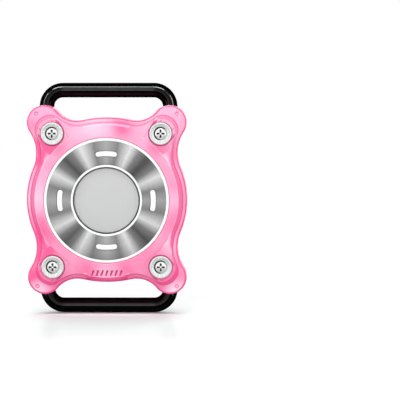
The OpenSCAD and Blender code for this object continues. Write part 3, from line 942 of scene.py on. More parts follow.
def clear_window():
    """Thin clear sheet that lets most light through, printed black round its edge."""
    material, shader = new_material("clear_window")
    place = place_mm(shader)
    edge = remap(radius(place), WINDOW_PRINT_R - 0.05, WINDOW_PRINT_R + 0.05, 0, 1)
    sheet = tinted(noise(place, 0.3, 2), (0.80, 0.81, 0.81), grey(0.86))
    feed(shader, {
        "Base Color": blend_colour(edge, sheet, grey(0.02)),
        "Alpha": remap(edge, 0, 1, 0.2, 0.9),
        "Roughness": 0.05,
    })
    return material


def plain(name, dark, light, mottle, rough, fine=None, more=None):
    """Material in two tones. mottle is the scale and detail of its clouds, rough its roughness or clouds
    of it, fine its grain, and more what else the shader needs."""
    material, shader = new_material(name)
    place = place_mm(shader)
    feed(shader, {
        "Base Color": tinted(noise(place, *mottle), dark, light),
        "Roughness": clouds(place, *rough) if isinstance(rough, tuple) else rough,
        **(more or {}),
    })
    if fine:
        feed(shader, {"Normal": grain(place, *fine)})
    return material


def metal(name, dark, light, rough, scale=1.5, metallic=1.0):
    """Plain metal with clouds in its tone and its roughness."""
    fine = (8 * scale, 2, 0.004, 0.4)
    return plain(name, dark, light, (scale, 4), (scale, 4, *rough), fine, {"Metallic": metallic})


def white_plastic(name, dark, light):
    glow = {"Subsurface Weight": 0.15, "Subsurface Scale": 0.5 * MM}
    return plain(name, grey(dark), grey(light), (0.5, 3), (2, 3, 0.28, 0.4), (6, 2, 0.006, 0.5), glow)


def dull(name, dark, light, rough):
    """Matt plastic, rubber or laminate with a fine grain."""
    return plain(name, dark, light, (3, 4), rough, (9, 3, 0.01, 0.6))


MATERIALS = {
    "front_shell": shell_plastic(
        "front_shell_plastic", FRONT_PAINTED_SHADE_AND_HIGHLIGHT, FRONT_PAINTED_LIGHT_PATCHES, FRONT_RIM_PAINTED_SHADE, WAIST_PAINTED_LIGHT_PATCHES,
    ),
    "rear_shell": shell_plastic("rear_shell_plastic", REAR_PAINTED_SHADE, REAR_PAINTED_LIGHT_PATCHES),
    # Painted shade: deep pink in the grip strokes and in the flares round the cups
    "groove": dull("painted_groove_shade_plastic", (0.66, 0.07, 0.22), (0.78, 0.12, 0.30), 0.4),
    # Painted shade line: deep pink on the flare at the inlay groove's outer edge
    "line": dull("line_plastic", (0.84, 0.14, 0.36), (0.92, 0.20, 0.44), 0.3),
    "white": white_plastic("white_plastic", 0.93, 0.97),
    "soft_white": white_plastic("soft_white_plastic", 0.79, 0.83),
    "inlay_base": plain(
        "inlay_base", (0.91, 0.46, 0.62), (0.95, 0.56, 0.70), (0.8, 3), 0.3, (4, 2, 0.01, 0.5),
    ),
    "inlay": woven_inlay(),
    "medallion": medallion_metal(),
    "marking": plain("marking", (0.33, 0.08, 0.15), (0.45, 0.13, 0.22), (5, 3), 0.5),
    "steel": turned_steel(),
    "chrome": metal("bright_plating", grey(0.82), grey(0.94), (0.16, 0.24), 1.5, 0.4),
    # Painted shade in recesses: near-black in screw pits and on the dark side of the cups' wells, grey in
    # the crosses
    "recess": metal("painted_recess_shade_plating", grey(0.02), grey(0.05), (0.3, 0.4), 3.0, 0.6),
    "painted_cross_shade": metal("painted_cross_shade_plating", grey(0.3), grey(0.42), (0.25, 0.35), 3.0, 0.5),
    "shaded": metal("shaded_plating", grey(0.16), grey(0.24), (0.3, 0.4), 3.0, 0.4),
    "mottled": metal("mottled_plating", grey(0.2), grey(0.85), (0.2, 0.35), 1.1),
    "cup": metal("cup_plating", (0.72, 0.74, 0.73), (0.8, 0.82, 0.81), (0.2, 0.3), 1.5, 0.3),
    "black": black_coating(),
    "rubber": dull("seal_rubber", (0.010, 0.010, 0.011), (0.022, 0.022, 0.024), 0.55),
    "brass": metal("insert_brass", (0.60, 0.42, 0.17), (0.74, 0.54, 0.26), (0.25, 0.35)),
    "window": clear_window(),
    "tag_steel": metal("tag_steel", grey(0.64), grey(0.68), (0.32, 0.4), 0.5, 0.5),
    "cell_steel": metal("cell_steel", (0.52, 0.51, 0.49), (0.62, 0.61, 0.59), (0.2, 0.32)),
    "board": dull("board_laminate", (0.010, 0.09, 0.035), (0.02, 0.13, 0.055), 0.4),
}


# Pieces

def steps(count, start=0):
    """Shares from 0 to 1 in even steps, without those before start."""
    return [i / count for i in range(start, count + 1)]


def quarter_turn(count, start=0):
    return [math.radians(90 * t) for t in steps(count, start)]


def towards(p, q, length):
    """A point at a length from p towards q, and short of q."""
    return p.lerp(q, min(0.985, length / (q - p).length))


def slope_width(p):
    """Width of the slope round the cover's raised middle: narrow along the top and bottom."""
    share = (abs(p.x) - END_SLOPE_HALF_W) / END_SLOPE_BLEND
    return END_SLOPE_W + (SLOPE_W - END_SLOPE_W) * min(1, max(0, share))


def crown_rise(p, shoulder):
    """Rise of the gently crowned middle over its shoulder, full where the lip round the ring begins."""
    t = (shoulder.length - p.length) / (shoulder.length - SEAT_R - LIP)
    return CROWN * (1 - (1 - t) ** 2)


def collar_drop(shoulder):
    """How far the raised middle lies lower outside the collar: not at all at its sides, top and bottom."""
    lift = math.degrees(math.atan2(abs(shoulder.y), abs(shoulder.x)))
    beside = min(1, max(0, shoulder.length - COLLAR_R - 3 * FIT))
    return COLLAR_DROP * beside * min(1, max(0, 1 - (lift - COLLAR_REACH) / COLLAR_FADE))


def cover_body():
    """Rounded edge, a slope up to a gently crowned middle with a round collar, and the bore for the tag."""
    shoulder = plateau_outline(SLOPE_IN)
    drops = [collar_drop(p) for p in shoulder]
    collar_foot = [p.normalized() * min(COLLAR_R + COLLAR_W, p.length - FIT) for p in shoulder]
    collar = [p.normalized() * min(COLLAR_R, p.length - 2 * FIT) for p in shoulder]
    foot = [towards(p, q, slope_width(p)) for p, q in zip(shoulder, case_outline(EDGE_R))]
    brim = circle_like(shoulder, SEAT_R + LIP)
    bore = circle_like(shoulder, COVER_BORE_R)
    parting = case_outline(PARTING_LINE)
    loops = [at_height(mixed(bore, parting, t), PARTING_Z) for t in steps(2)]
    loops.append(at_height(case_outline(), PARTING_Z + PARTING_LINE))
    for a in quarter_turn(8):
        loops.append(at_height(case_outline(EDGE_R * (1 - math.cos(a))), RIM_Z - EDGE_R * (1 - math.sin(a))))
    for t in steps(12):
        rises = [(SHOULDER_Z - drop - RIM_Z) * slope_share(t) for drop in drops]
        loops.append([(p.x, p.y, RIM_Z + rise) for p, rise in zip(mixed(foot, shoulder, t), rises)])
    tiers = [(collar_foot, 1), (mixed(collar_foot, collar, 0.5), 0.4), (collar, 0)]
    tiers += [(mixed(collar, brim, t), 0) for t in steps(6, 1)]
    for outline, share in tiers:
        loops.append([
            (p.x, p.y, SHOULDER_Z + crown_rise(p, q) - share * drop)
            for p, q, drop in zip(outline, shoulder, drops)
        ])
    for a in quarter_turn(4, 1):
        r = SEAT_R + LIP * (1 - math.sin(a))
        loops.append(at_height(circle_like(shoulder, r), PLATEAU_Z - LIP * (1 - math.cos(a))))
    loops.append(at_height(circle_like(shoulder, SEAT_R), LEDGE_Z))
    loops.append(at_height(bore, LEDGE_Z))
    return loft("front_cover_body", loops, closed=True)


def from_cover_screw(middle):
    """The way from the nearest cover screw to the middle of a face, in the flat drawing."""
    ways = [middle.xy - corner_place(COVER_SCREW, corner) for corner in CORNERS.values()]
    return min(ways, key=lambda way: way.length)


def tab_outline(inset, half_w):
    """Part of the case's outline at its lower edge, with a straight back."""
    edge = [p for p in case_outline(inset) if abs(p.x) < half_w and p.y < 0]
    points = []
    for t in steps(24):
        x = half_w * (2 * t - 1)
        points.append(Vector((x, min(edge, key=lambda p: abs(p.x - x)).y)))
    return points + [Vector((half_w, TAB_L - HALF_H)), Vector((-half_w, TAB_L - HALF_H))]


def tab():
    """Ledge at the lower edge for opening the cover, level with the raised middle, its end sloped."""
    loops = []
    for inset, half_w, z in (
        (TAB_INSET, TAB_HALF_W + TAB_FLARE, RIM_Z - 0.5),
        (TAB_INSET, TAB_HALF_W + TAB_FLARE, RIM_Z),
        (TAB_INSET + TAB_SLOPE * 0.75, TAB_HALF_W + TAB_FLARE * 0.25, TAB_TOP_Z - 0.35),
        (TAB_INSET + TAB_SLOPE, TAB_HALF_W, TAB_TOP_Z - 0.1),
        (TAB_INSET + TAB_SLOPE + 0.15, TAB_HALF_W - 0.15, TAB_TOP_Z),
    ):
        loops.append(at_height(tab_outline(inset, half_w), z))
    return loft("tab", loops)


def grip_stroke(x):
    """Slanted stroke sunk in the ledge, its sides sloped."""
    def outline(grow):
        half_w = STROKE_W / 2 + grow
        half_l = STROKE_L / 2 + grow
        corners = rectangle(-half_w, half_w, -half_l, half_l)
        return [(x + p.x + STROKE_LEAN * p.y, STROKE_Y + p.y) for p in corners]

    flare = STROKE_DEPTH / 3
    levels = (0, TAB_TOP_Z - STROKE_DEPTH), (flare, TAB_TOP_Z), (flare, TAB_TOP_Z + OVERRUN)
    return tiered("grip_stroke", outline, *levels)


def in_groove(middle):
    """Test for the faces of the grip strokes and of the flares round the cups."""
    low_z = SHOULDER_Z - STROKE_DEPTH
    near_x = abs(middle.x) < STROKES * STROKE_PITCH / 2
    near_y = abs(middle.y - STROKE_Y) < STROKE_L / 2 + 2 * SLACK
    in_stroke = near_x and near_y and low_z - SLACK < middle.z < SHOULDER_Z - FINE_SLACK
    far = from_cover_screw(middle).length - CUP_HOLE_R
    in_flare = -SLACK < far < CUP_HOLE_FLARE - FINE_SLACK and middle.z > CUP_Z + SLACK
    return in_stroke or in_flare


def make_front_cover():
    cover = join(cover_body(), tab())
    cut(cover, *[grip_stroke((i - (STROKES - 1) / 2) * STROKE_PITCH) for i in range(STROKES)])
    flare_r = CUP_HOLE_R + CUP_HOLE_FLARE
    flare_z = PLATEAU_Z - CUP_FLARE_DROP
    flare = [
        (0, CUP_Z), (CUP_HOLE_R, CUP_Z), (CUP_HOLE_R, flare_z - CUP_HOLE_FLARE), (flare_r, flare_z),
        (flare_r, PLATEAU_Z + OVERRUN), (0, PLATEAU_Z + OVERRUN),
    ]
    bowl = [(0, RIM_Z - DIMPLE_DEPTH)]
    bowl += [(DIMPLE_R * math.sin(a), RIM_Z - DIMPLE_DEPTH * math.cos(a)) for a in quarter_turn(6, 1)]
    bowl += [(DIMPLE_R + 0.1, RIM_Z + 0.1), (DIMPLE_R + 0.1, RIM_Z + OVERRUN), (0, RIM_Z + OVERRUN)]
    for corner in CORNERS.values():
        place = corner_place(COVER_SCREW, corner)
        cut(
            cover,
            cylinder("shank_hole", COVER_HOLE_R, PARTING_Z - OVERRUN, CUP_Z + OVERRUN, place, HOLE_STEPS),
            revolve("cup_hole", flare, None, place, SMALL_STEPS),
            revolve("dimple", bowl, None, corner_place(DIMPLE, corner), DIMPLE_STEPS),
        )
    # Faces of the grip strokes and of the cup flares get the painted groove shade
    add_piece(cover, "cover", "front_shell", ["front_cover"], [("groove", in_groove)])


def make_rear_shell():
    loops = []
    for a in quarter_turn(8):
        inset = REAR_EDGE_R * (1 - math.sin(a))
        loops.append(at_height(case_outline(inset), REAR_EDGE_R * (1 - math.cos(a))))
    loops.append(at_height(case_outline(), PARTING_Z - PARTING_LINE))
    loops.append(at_height(case_outline(PARTING_LINE), PARTING_Z))
    over_z = PARTING_Z + OVERRUN
    flare_r = INLAY_SEAT_R + GROOVE_FLARE
    inlay_groove = [
        (INLAY_IN_R, -OVERRUN), (flare_r, -OVERRUN), (flare_r, 0), (INLAY_SEAT_R, GROOVE_FLARE),
        (INLAY_SEAT_R, INLAY_DEPTH), (INLAY_IN_R, INLAY_DEPTH),
    ]
    shell = cut(
        loft("rear_shell_body", loops),
        cylinder("liner_bore", LINER_BORE_R, FLOOR_Z, over_z),
        cylinder("rear_window", REAR_WINDOW_R, -OVERRUN, FLOOR_Z + OVERRUN),
        revolve("inlay_groove", inlay_groove),
        flat_ring("seal_groove", SEAL_IN_R, SEAL_OUT_R, PARTING_Z - SEAL_DEPTH, over_z),
    )
    for corner in CORNERS.values():
        bush_place = corner_place(COVER_SCREW, corner)
        place = corner_place(LOOP_SCREW, corner)
        ends = sorted((place.y, place.y + corner[1] * 2 * LOBE_R))
        leg = rectangle(place.x - POCKET_LEG_HALF_W, place.x + POCKET_LEG_HALF_W, *ends)
        cut(
            shell,
            cylinder("cover_bush", COVER_INSERT_R, COVER_INSERT_Z, over_z, bush_place, HOLE_STEPS),
            cylinder("loop_bush", LOOP_INSERT_R, 0, LOOP_INSERT_TOP_Z, place, HOLE_STEPS),
            cylinder("eye_pocket", POCKET_R, -OVERRUN, POCKET_DEPTH, place, SMALL_STEPS),
            prism("leg_pocket", leg, -OVERRUN, POCKET_DEPTH),
            tiered(
                "accent_groove", lambda gap: accent_outline(corner, gap),
                (GROOVE_FLARE, -OVERRUN), (GROOVE_FLARE, 0), (0.04, GROOVE_FLARE), (0.04, ACCENT_DEPTH),
            ),
        )
    # The flare at the inlay's edge gets the painted shade line
    add_piece(shell, "case", "rear_shell", ["rear_shell"], [("line", in_inlay_flare)])


def in_inlay_flare(middle):
    """Test for the flare along the outer edge of the inlay's groove."""
    beside = INLAY_SEAT_R - SLACK < middle.xy.length < INLAY_SEAT_R + GROOVE_FLARE - FINE_SLACK
    return beside and FINE_SLACK / 2 < middle.z < INLAY_DEPTH - FINE_SLACK


def accent_outline(corner, gap):
    """Slim bar with round ends across a corner of the rear face, grown by gap."""
    end_r = ACCENT_END_R + gap
    x = ACCENT_W / 2 + gap - end_r
    y = ACCENT_L / 2 + gap - end_r
    points = []
    for place, start in zip(rectangle(ACCENT_R - x, ACCENT_R + x, -y, y), (180, 270, 0, 90)):
        points += arc(place, end_r, start, start + 90, 6)
    turn = bearing((0, 0), corner_place(COVER_SCREW, corner))
    return [turned(p, turn) for p in points]


def make_accent_bars():
    bars = []
    for corner in CORNERS.values():
        levels = (-0.2, -0.05), (-0.06, 0.0), (0, 0.12), (0, ACCENT_DEPTH)
        bars.append(tiered("accent_bar", lambda gap: accent_outline(corner, gap), *levels))
    add_piece(gather("accent_bars_shown", bars), "case", "white", ["accent_bars"])


def eyelet_outline(side, inset):
    """Window of the medallion: straight on its outer side and round on its inner one."""
    r = (EYELET_H ** 2 / 4 + EYELET_W ** 2) / (2 * EYELET_W)
    middle = EYELET_X + r
    edge = EYELET_X + EYELET_W - inset
    half = math.degrees(math.acos((middle - edge) / (r - inset)))
    points = arc((middle, 0), r - inset, 180 - half, 180 + half, 32)
    points.append(turned(Vector((r - inset, 0)), 180 + half) + Vector((middle, 0)))
    return [(side * p.x, p.y) for p in points]


def eyelets(*levels):
    """The medallion's two windows as solids, through levels of (inset, z)."""
    made = [tiered("eyelet", lambda inset: eyelet_outline(side, inset), *levels) for side in (1, -1)]
    return gather("eyelets", made)


def make_medallion():
    """Coloured disc with a bevel, turned grooves in its middle and two windows."""
    profile = [(0, MEDALLION_SEAT)]
    waves = round(TURNED_R / TURNED_PITCH)
    for t in steps(waves * 10):
        depth = TURNED_DEPTH * (1 - math.cos(2 * math.pi * t * waves)) / 2
        profile.append((t * waves * TURNED_PITCH, MEDALLION_Z + depth))
    crest = (MEDALLION_FACE_R, MEDALLION_Z)
    edge = (MEDALLION_R, 0)
    seat = (MEDALLION_R, MEDALLION_SEAT)
    profile += rounded(crest, (0, MEDALLION_Z), edge, 0.1, 3)
    profile += rounded(edge, crest, seat, 0.1, 3)
    profile.append(seat)
    disc = cut(revolve("medallion_disc", profile), eyelets(
        (-EYELET_FLARE, MEDALLION_Z - OVERRUN), (-EYELET_FLARE, MEDALLION_Z),
        (0, MEDALLION_Z + EYELET_FLARE), (0, MEDALLION_SEAT + OVERRUN),
    ))
    add_piece(disc, "case", "medallion", ["medallion"])
    reach = TICK_REACH // TICK_STEP
    ticks = [tick(middle, i) for middle in (90, 270) for i in range(-reach, reach + 1)]
    add_piece(gather("medallion_ticks", ticks), "case", "marking")


def tick(middle, i):
    """Thin printed mark, the i-th from a middle angle, its outer end on a circle. Every fourth is long."""
    outer = TICK_R + TICK_L / 2
    length = TICK_L if i % 4 == 0 else TICK_L / 2
    corners = rectangle(outer - length, outer, -TICK_W / 2, TICK_W / 2)
    outline = [turned(p, middle + i * TICK_STEP) for p in corners]
    return prism("tick", outline, MEDALLION_Z - 0.02, MEDALLION_Z + 0.05)


def make_inlay():
    """Light ring with slanted bars in a deeper colour standing on it."""
    radii = {0: 0.08, 1: 0.08}
    base = flat_ring("inlay_base", INLAY_IN_R + FIT, INLAY_OUT_R, BAR_RELIEF, INLAY_DEPTH, radii)
    add_piece(base, "case", "inlay_base", ["inlay_ring"])
    bars = flat_ring(
        "inlay_bars", INLAY_IN_R + INLAY_MARGIN, INLAY_OUT_R - 0.05, -0.01, BAR_RELIEF + 0.05,
        {0: 0.05, 1: 0.05},
    )
    reach = math.ceil(INLAY_OUT_R / BAR_PITCH)
    combine(bars, gather("comb", [slanted_bar(i) for i in range(-reach, reach)]), "INTERSECT")
    add_piece(bars, "case", "inlay")


def slanted_bar(i):
    """Long bar with rounded edges across the whole inlay, the i-th from its middle."""
    low = (i + BAR_GAP_SHARE / 2) * BAR_PITCH
    high = (i + 1 - BAR_GAP_SHARE / 2) * BAR_PITCH
    end = INLAY_OUT_R + OVERRUN

    def outline(grow):
        return [turned(p, -45) for p in rectangle(-end, end, low - grow, high + grow)]

    return tiered("bar", outline, (-0.1, 0), (0, 0.1), (0, BAR_RELIEF + 0.1))


def make_rear_liner():
    rim_in = MEDALLION_R + FIT
    rim_out = REAR_WINDOW_R - FIT
    liner = revolve("rear_liner_body", [
        (0, MEDALLION_SEAT), (rim_in, MEDALLION_SEAT), (rim_in, 0), (rim_out, 0), (rim_out, FLOOR_Z),
        (LINER_BORE_R - FIT, FLOOR_Z), (LINER_BORE_R - FIT, PARTING_Z - FIT), (CAVITY_R, PARTING_Z - FIT),
        (CAVITY_R, TAG_Z), (0, TAG_Z),
    ], {2: 0.3, 3: 0.3, 6: 0.1, 7: 0.1, 8: 0.3})
    join(liner, eyelets((FIT, EYELET_Z), (FIT, MEDALLION_SEAT + 0.2)))
    add_piece(liner, "case", "soft_white", ["rear_liner"])


def rod_path():
    """Stations along the upper loop as (place, direction, radius), from the right neck to the left one."""
    x, y = LOOP_SCREW
    bend = Vector((x - BEND_R, BAR_Y - BEND_R))
    up = Vector((0, 1))
    stations = [(Vector((x, y + NECK_Y - 0.2)), up, NECK_R)]
    for a in quarter_turn(10):
        r = NECK_R + (ROD_R - NECK_R) * math.sin(a)
        stations.append((Vector((x, y + NECK_Y + NECK_L * (1 - math.cos(a)))), up, r))
    for a in quarter_turn(24):
        out = Vector((math.cos(a), math.sin(a)))
        stations.append((bend + BEND_R * out, Vector((-out.y, out.x)), ROD_R))
    mirrored_part = [(Vector((-p.x, p.y)), Vector((d.x, -d.y)), r) for p, d, r in reversed(stations)]
    return stations + mirrored_part


def make_loop(name, side):
    """Strap loop: one bent rod with an eye at each end. side is 1 for the upper loop, -1 for the lower."""
    loops = []
    for place, along, r in rod_path():
        across = Vector((along.y, -along.x))
        loop = []
        for i in range(ROD_SIDES):
            a = 2 * math.pi * i / ROD_SIDES
            point = place + across * (r * math.cos(a))
            loop.append((point.x, side * point.y, ROD_Z + r * math.sin(a)))
        loops.append(loop)
    rod = loft(name + "_rod", loops)
    well_r = LOOP_HEAD_R + 0.1
    flare_r = well_r + EYE_WELL_FLARE
    below_z = EYE_BACK_Z - 2 * OVERRUN
    well = [
        (0, below_z), (flare_r, below_z), (flare_r, EYE_BACK_Z), (well_r, EYE_BACK_Z + EYE_WELL_FLARE),
        (well_r, EYE_SEAT_Z), (0, EYE_SEAT_Z),
    ]
    for x in (LOOP_SCREW.x, -LOOP_SCREW.x):
        place = (x, side * LOOP_SCREW.y)
        join(rod, flat_ring("eye", 0, EYE_R, EYE_BACK_Z, EYE_Z, {1: 0.5, 2: 0.25}, place, EYE_STEPS))
        cut(
            rod,
            revolve("eye_well", well, None, place, SMALL_STEPS),
            cylinder("eye_hole", LOOP_HOLE_R, EYE_BACK_Z - OVERRUN, EYE_Z + OVERRUN, place, SMALL_STEPS),
        )
    add_piece(rod, name, "black", [name])


def pit_places(head_r):
    return [turned(Vector((head_r * PIT_PLACE, 0)), turn) for turn in QUARTERS]


def cross_arm(head_r, turn, grow):
    """One arm of a screw's cross, grown."""
    corners = rectangle(CROSS_IN - grow, CROSS_OUT + grow, -CROSS_HALF_W - grow, CROSS_HALF_W + grow)
    return [turned(head_r * p, turn) for p in corners]


def screw(name, head_r, head_h, dome, shank_r, shank_l, pit_r, dish_r):
    """Cross-head screw along z, just clear of a seat at height 0, with a grooved shank."""
    edge_z = head_h - dome
    profile = [(0, head_h)]
    for a in quarter_turn(8, 1):
        profile.append(((head_r - 0.15) * math.sin(a), head_h - dome * (1 - math.cos(a))))
    profile += rounded((head_r, edge_z), (head_r - 0.3, edge_z), (head_r, 0), 0.14, 4)
    profile += [(head_r, FIT), (shank_r, FIT)]
    for i in range(int((shank_l - 2 * THREAD_START) / THREAD_PITCH)):
        z = -THREAD_START - i * THREAD_PITCH
        profile += [(shank_r, z), (shank_r - THREAD_DEPTH, z - THREAD_PITCH / 2)]
    profile += [(shank_r, -shank_l + 0.3), (shank_r - 0.25, -shank_l), (0, -shank_l)]
    over_z = head_h + 0.3
    levels = (0, head_h * (1 - CROSS_DEPTH)), (0.04, head_h), (0.04, over_z)
    tools = [tiered("drive", lambda grow: cross_arm(head_r, turn, grow), *levels) for turn in QUARTERS]
    for place in pit_places(head_r):
        tools.append(cylinder("pit", head_r * pit_r, head_h * 0.4, over_z, place, PIT_STEPS))
    if dish_r:
        tools.append(cylinder("dish", dish_r, head_h - DISH_DEPTH, over_z, steps=SMALL_STEPS))
    return cut(revolve(name, profile, steps=SMALL_STEPS), *tools)


def head_tests(head_r, head_h, pit_r, dish_r):
    """Tests for the faces of the pits, of the dish and of the cross in a screw's head."""
    def in_pit(middle):
        far = min((middle.xy - place).length for place in pit_places(head_r))
        return far < head_r * (pit_r + FINE_SLACK) and head_h * 0.3 < middle.z < head_h * 0.95

    def in_dish(middle):
        return middle.xy.length < dish_r + FINE_SLACK and middle.z > head_h - DISH_DEPTH - FINE_SLACK / 2

    def in_cross(middle):
        wide, long = sorted((abs(middle.x), abs(middle.y)))
        near = long < head_r * (CROSS_OUT + SLACK) and wide < head_r * (CROSS_HALF_W + SLACK)
        return near and head_h * 0.3 < middle.z < head_h * 0.9

    return in_pit, in_dish, in_cross


def make_screws():
    for corner_name, corner in CORNERS.items():
        for kind, (spot, seat_z, turn, look, head, shank, recess) in SCREWS.items():
            name = f"{corner_name}_{kind}"
            made = screw(name + "_body", *head, *shank, *recess)
            pit, dish, cross = head_tests(*head[:2], *recess)
            x, y = corner_place(spot, corner)
            stand = Matrix.Translation((x, y, seat_z)) @ Matrix.Rotation(math.radians(turn), 4, "X")
            # Painted shade: near-black pits and a grey cross, and a mottled dish
            inner = [("recess", pit), ("mottled", dish), (look, cross)]
            add_piece(made, name, "chrome", [name], inner, stand)


def make_cups():
    """Bright cups round the cover screws' heads: a flat rim, a step down to a shallow dish, and a well."""
    dish_z = CUP_TOP_Z - CUP_DISH_DEPTH
    profile = [
        (COVER_HOLE_R, CUP_Z), (CUP_R, CUP_Z), (CUP_R, CUP_TOP_Z), (CUP_RIM_R, CUP_TOP_Z),
        (CUP_RIM_R - 0.12, dish_z), (CUP_WELL_R, dish_z - 0.1), (CUP_WELL_R, COVER_SEAT_Z),
        (COVER_HOLE_R, COVER_SEAT_Z),
    ]
    cups = []
    for corner in CORNERS.values():
        place = corner_place(COVER_SCREW, corner)
        cups.append(revolve("cup", profile, {2: 0.25, 3: 0.08, 5: 0.12}, place, SMALL_STEPS))

    def in_well(least, most):
        """Test for the well's faces, by how squarely they lie towards its shaded side."""
        def test(middle):
            way = from_cover_screw(middle)
            inside = way.length < CUP_WELL_R + FINE_SLACK and COVER_SEAT_Z - SLACK < middle.z < dish_z - 0.15
            return inside and least < way.normalized().dot(turned(Vector((1, 0)), WELL_SHADE_TURN)) <= most
        return test

    # Painted shadow: a dark crescent on the well's shaded side, grey at its ends
    inner = [("recess", in_well(0.2, 1.01)), ("shaded", in_well(-0.35, 0.2))]
    add_piece(gather("screw_cups_shown", cups), "cover", "cup", ["screw_cups"], inner)


def make_front_liner():
    """White deck with a rounded edge on each side of the steel ring, and a pad in each of its slots."""
    liner = revolve("front_liner_body", [
        (WINDOW_R, DECK_Z), (COVER_BORE_R, DECK_Z), (COVER_BORE_R, LEDGE_Z), (LINER_R, LEDGE_Z),
        (LINER_R, RING_TOP_Z), (STEEL_OUT_R + FIT, RING_TOP_Z), (STEEL_OUT_R + FIT, RING_Z),
        (STEEL_IN_R - FIT, RING_Z), (STEEL_IN_R - FIT, RING_TOP_Z), (WINDOW_EDGE_R, RING_TOP_Z),
        (WINDOW_EDGE_R, RING_Z), (WINDOW_R, RING_Z),
    ], {4: 0.25, 5: 0.12, 8: 0.12, 9: 0.2})
    for turn in QUARTERS:
        join(liner, tiered(
            "pad", lambda inset: slot_outline(inset, turn),
            (FIT, RING_Z - 0.1), (FIT, PAD_TOP_Z - 0.25), (FIT + 0.08, PAD_TOP_Z - 0.08), (0.28, PAD_TOP_Z),
        ))
    add_piece(liner, "cover", "white", ["front_liner"])


def make_steel_ring():
    ring = flat_ring(
        "steel_ring_body", STEEL_IN_R, STEEL_OUT_R, RING_Z, RING_TOP_Z, {2: 0.12, 3: 0.12},
        steps=STEEL_STEPS,
    )
    for turn in QUARTERS:
        cut(ring, tiered(
            "slot", lambda inset: slot_outline(inset, turn),
            (0, RING_Z - OVERRUN), (0, RING_TOP_Z - 0.1), (-0.1, RING_TOP_Z), (-0.1, RING_TOP_Z + OVERRUN),
        ))
    add_piece(ring, "cover", "steel", ["steel_ring"])


def make_window():
    pane = flat_ring("window_pane", 0, WINDOW_EDGE_R - FIT, WINDOW_Z, WINDOW_TOP_Z, {1: 0.08, 2: 0.18})
    add_piece(pane, "cover", "window", ["window"])


def ring_part(hole_r, r, z, top, middle, span):
    """Part of a flat ring, from its middle angle out to both sides."""
    low = middle - span / 2
    high = middle + span / 2
    outline = arc((0, 0), r, low, high, 12) + [turned(Vector((r, 0)), high)]
    outline += arc((0, 0), hole_r, high, low, 12) + [turned(Vector((hole_r, 0)), low)]
    return prism("ring_part", outline, z, top)


def make_tag():
    """Round tag: a white housing, softly rounded, and a steel battery cover with three tabs."""
    profile = [(0, TAG_Z)]
    for a in quarter_turn(12):
        r = TAG_R - TAG_EDGE_R * (1 - math.sin(a))
        profile.append((r, TAG_Z + TAG_EDGE_R * (1 - math.cos(a))))
    for a in quarter_turn(8):
        r = TAG_R - TAG_BROW_R * (1 - math.cos(a))
        profile.append((r, TAG_LIP_Z - TAG_BROW_R * (1 - math.sin(a))))
    lip = (TAG_OPENING_R, BAYONET_LIP_Z)
    groove_r = BAYONET_R + 0.1
    groove_z = BAYONET_Z - 0.1
    bore_r = BOARD_R + FIT
    floor_r = BOARD_R - BOARD_LEDGE_W
    profile += rounded((TAG_OPENING_R, TAG_LIP_Z), (TAG_R, TAG_LIP_Z), lip, 0.12, 3)
    profile += [
        lip, (groove_r, BAYONET_LIP_Z), (groove_r, groove_z), (bore_r, groove_z), (bore_r, BOARD_Z),
        (floor_r, BOARD_Z), (floor_r, TAG_FLOOR_Z), (0, TAG_FLOOR_Z),
    ]
    housing = revolve("tag_housing_body", profile)
    lid = revolve("tag_battery_cover_body", [
        (0, BATTERY_COVER_Z), (BATTERY_SKIRT_R, BATTERY_COVER_Z), (BATTERY_SKIRT_R, BAYONET_Z),
        (BATTERY_COVER_R, BAYONET_Z), (BATTERY_COVER_R, TAG_TOP_Z), (0, TAG_TOP_Z),
    ], {4: 0.3})
    notch = (BATTERY_SKIRT_R, BAYONET_R + 0.06, BAYONET_LIP_Z - 0.05, TAG_TOP_Z)
    lug = (BATTERY_SKIRT_R + 0.1, BAYONET_R, BAYONET_Z, BAYONET_Z + BAYONET_T)
    for middle in TAB_TURNS:
        cut(housing, ring_part(*notch, middle + NOTCH_TURN, NOTCH_SPAN))
        join(lid, ring_part(*lug, middle, BAYONET_SPAN))
    add_piece(housing, "tag", "white", ["tag_housing"])
    add_piece(lid, "battery_cover", "tag_steel", ["tag_battery_cover"])


def dress_nodes():
    """Looks of the CAD nodes that are shown as they are."""
    looks = {
        "case_seal": "rubber", "window_gasket": "rubber", "cover_inserts": "brass", "loop_inserts": "brass",
        "tag_board": "board", "tag_sounder": "cell_steel", "tag_contacts": "brass", "tag_cell": "cell_steel",
    }
    for name, look in looks.items():
        dress(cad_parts[name].data, look)


# Stage

def make_floor():
    """Pale round floor that fades out into the white background. Near the object it is tinted cyan,
    a painted counter to the pink light bounced onto it from the case.
    """
    rim = [(p.x, p.y, 0) for p in arc((0, 0), FLOOR_R, 0, 360, SMALL_STEPS)]
    floor = new_object("floor", rim, [tuple(range(SMALL_STEPS))])
    material, shader = new_material("floor_paper")
    place = node("TexCoord", {}, shader.id_data).outputs["Object"]
    far = node("VectorMath", {0: place}, operation="LENGTH").outputs["Value"]
    bounce_counter_tint = remap(far, FLOOR_NEAR_R / 3, FLOOR_NEAR_R, 0, 1, True)
    feed(shader, {
        "Base Color": blend_colour(bounce_counter_tint, FLOOR_NEAR_COUNTER_TINT, FLOOR_FAR),
        "Alpha": remap(far, FLOOR_R * 0.35, FLOOR_R * 0.98, 1, 0, True),
        "Roughness": 0.15,
        "IOR": FLOOR_IOR,
    })
    floor.data.materials.append(material)
    floor.visible_glossy = False


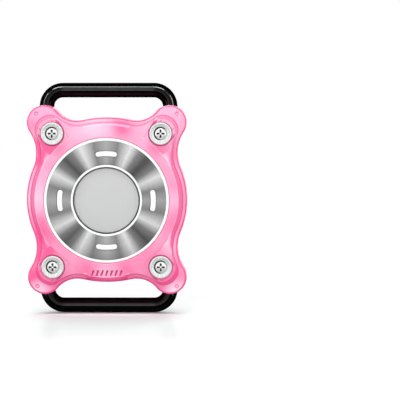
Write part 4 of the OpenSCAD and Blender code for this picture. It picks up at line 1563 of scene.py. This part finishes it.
def make_world():
    """White for the camera and through glass, white backdrops for gloss, and soft grey light elsewhere."""
    world = bpy.data.worlds.new("studio")
    bpy.context.scene.world = world
    world.use_nodes = True
    tree = world.node_tree
    tree.nodes.clear()
    path = node("LightPath", {}, tree).outputs
    x, y, z = split(node("TexCoord", {}, tree).outputs["Generated"])
    above = remap(z, BACKDROP_LOW - BACKDROP_BLUR, BACKDROP_LOW, 0, 1, True)
    below = remap(z, BACKDROP_HIGH, BACKDROP_HIGH + BACKDROP_BLUR, 1, 0, True)
    facing = remap(maths("ABSOLUTE", y), BACKDROP_SIDE, BACKDROP_SIDE + BACKDROP_BLUR, 0, 1, True)
    mirrored = remap(times(times(above, below), facing), 0, 1, GLOSSY_LIGHT, 1)
    light = blend_value(path["Is Glossy Ray"], SOFT_LIGHT, mirrored)
    seen = maths("MAXIMUM", path["Is Camera Ray"], path["Is Transmission Ray"])
    white = node("Background", {"Color": (1, 1, 1), "Strength": blend_value(seen, light, 1)})
    node("OutputWorld", {"Surface": white.outputs[0]}, is_active_output=True)


def make_lamp(name, place, width, height, brightness, mirrored):
    """Soft rectangular lamp that faces the middle of the case. A face of brightness 1 looks white."""
    light = bpy.data.lights.new(name, "AREA")
    light.shape = "RECTANGLE"
    light.size = width
    light.size_y = height
    light.energy = brightness * math.pi * width * height
    lamp = bpy.data.objects.new(name, light)
    lamp.location = place
    lamp.visible_glossy = mirrored
    aim = Vector((0, 0, RISE * MM)) - Vector(place)
    lamp.rotation_euler = aim.to_track_quat("-Z", "Y").to_euler()
    bpy.context.scene.collection.objects.link(lamp)


def make_camera():
    camera = bpy.data.objects.new("camera", bpy.data.cameras.new("camera"))
    camera.data.lens = LENS_MM
    camera.data.clip_start = 0.01
    camera.location = CAMERA_PLACE
    camera.rotation_euler = (math.radians(90 + CAMERA_PITCH), 0, math.radians(-CAMERA_YAW))
    bpy.context.scene.collection.objects.link(camera)
    bpy.context.scene.camera = camera


dress_nodes()
make_rear_shell()
make_rear_liner()
make_medallion()
make_inlay()
make_accent_bars()
make_loop("upper_loop", 1)
make_loop("lower_loop", -1)
make_front_cover()
make_front_liner()
make_steel_ring()
make_window()
make_cups()
make_screws()
make_tag()

make_floor()
make_world()
for lamp_name, lamp in LAMPS.items():
    make_lamp(lamp_name, *lamp)
make_camera()
bpy.context.scene.view_settings.view_transform = "Standard"
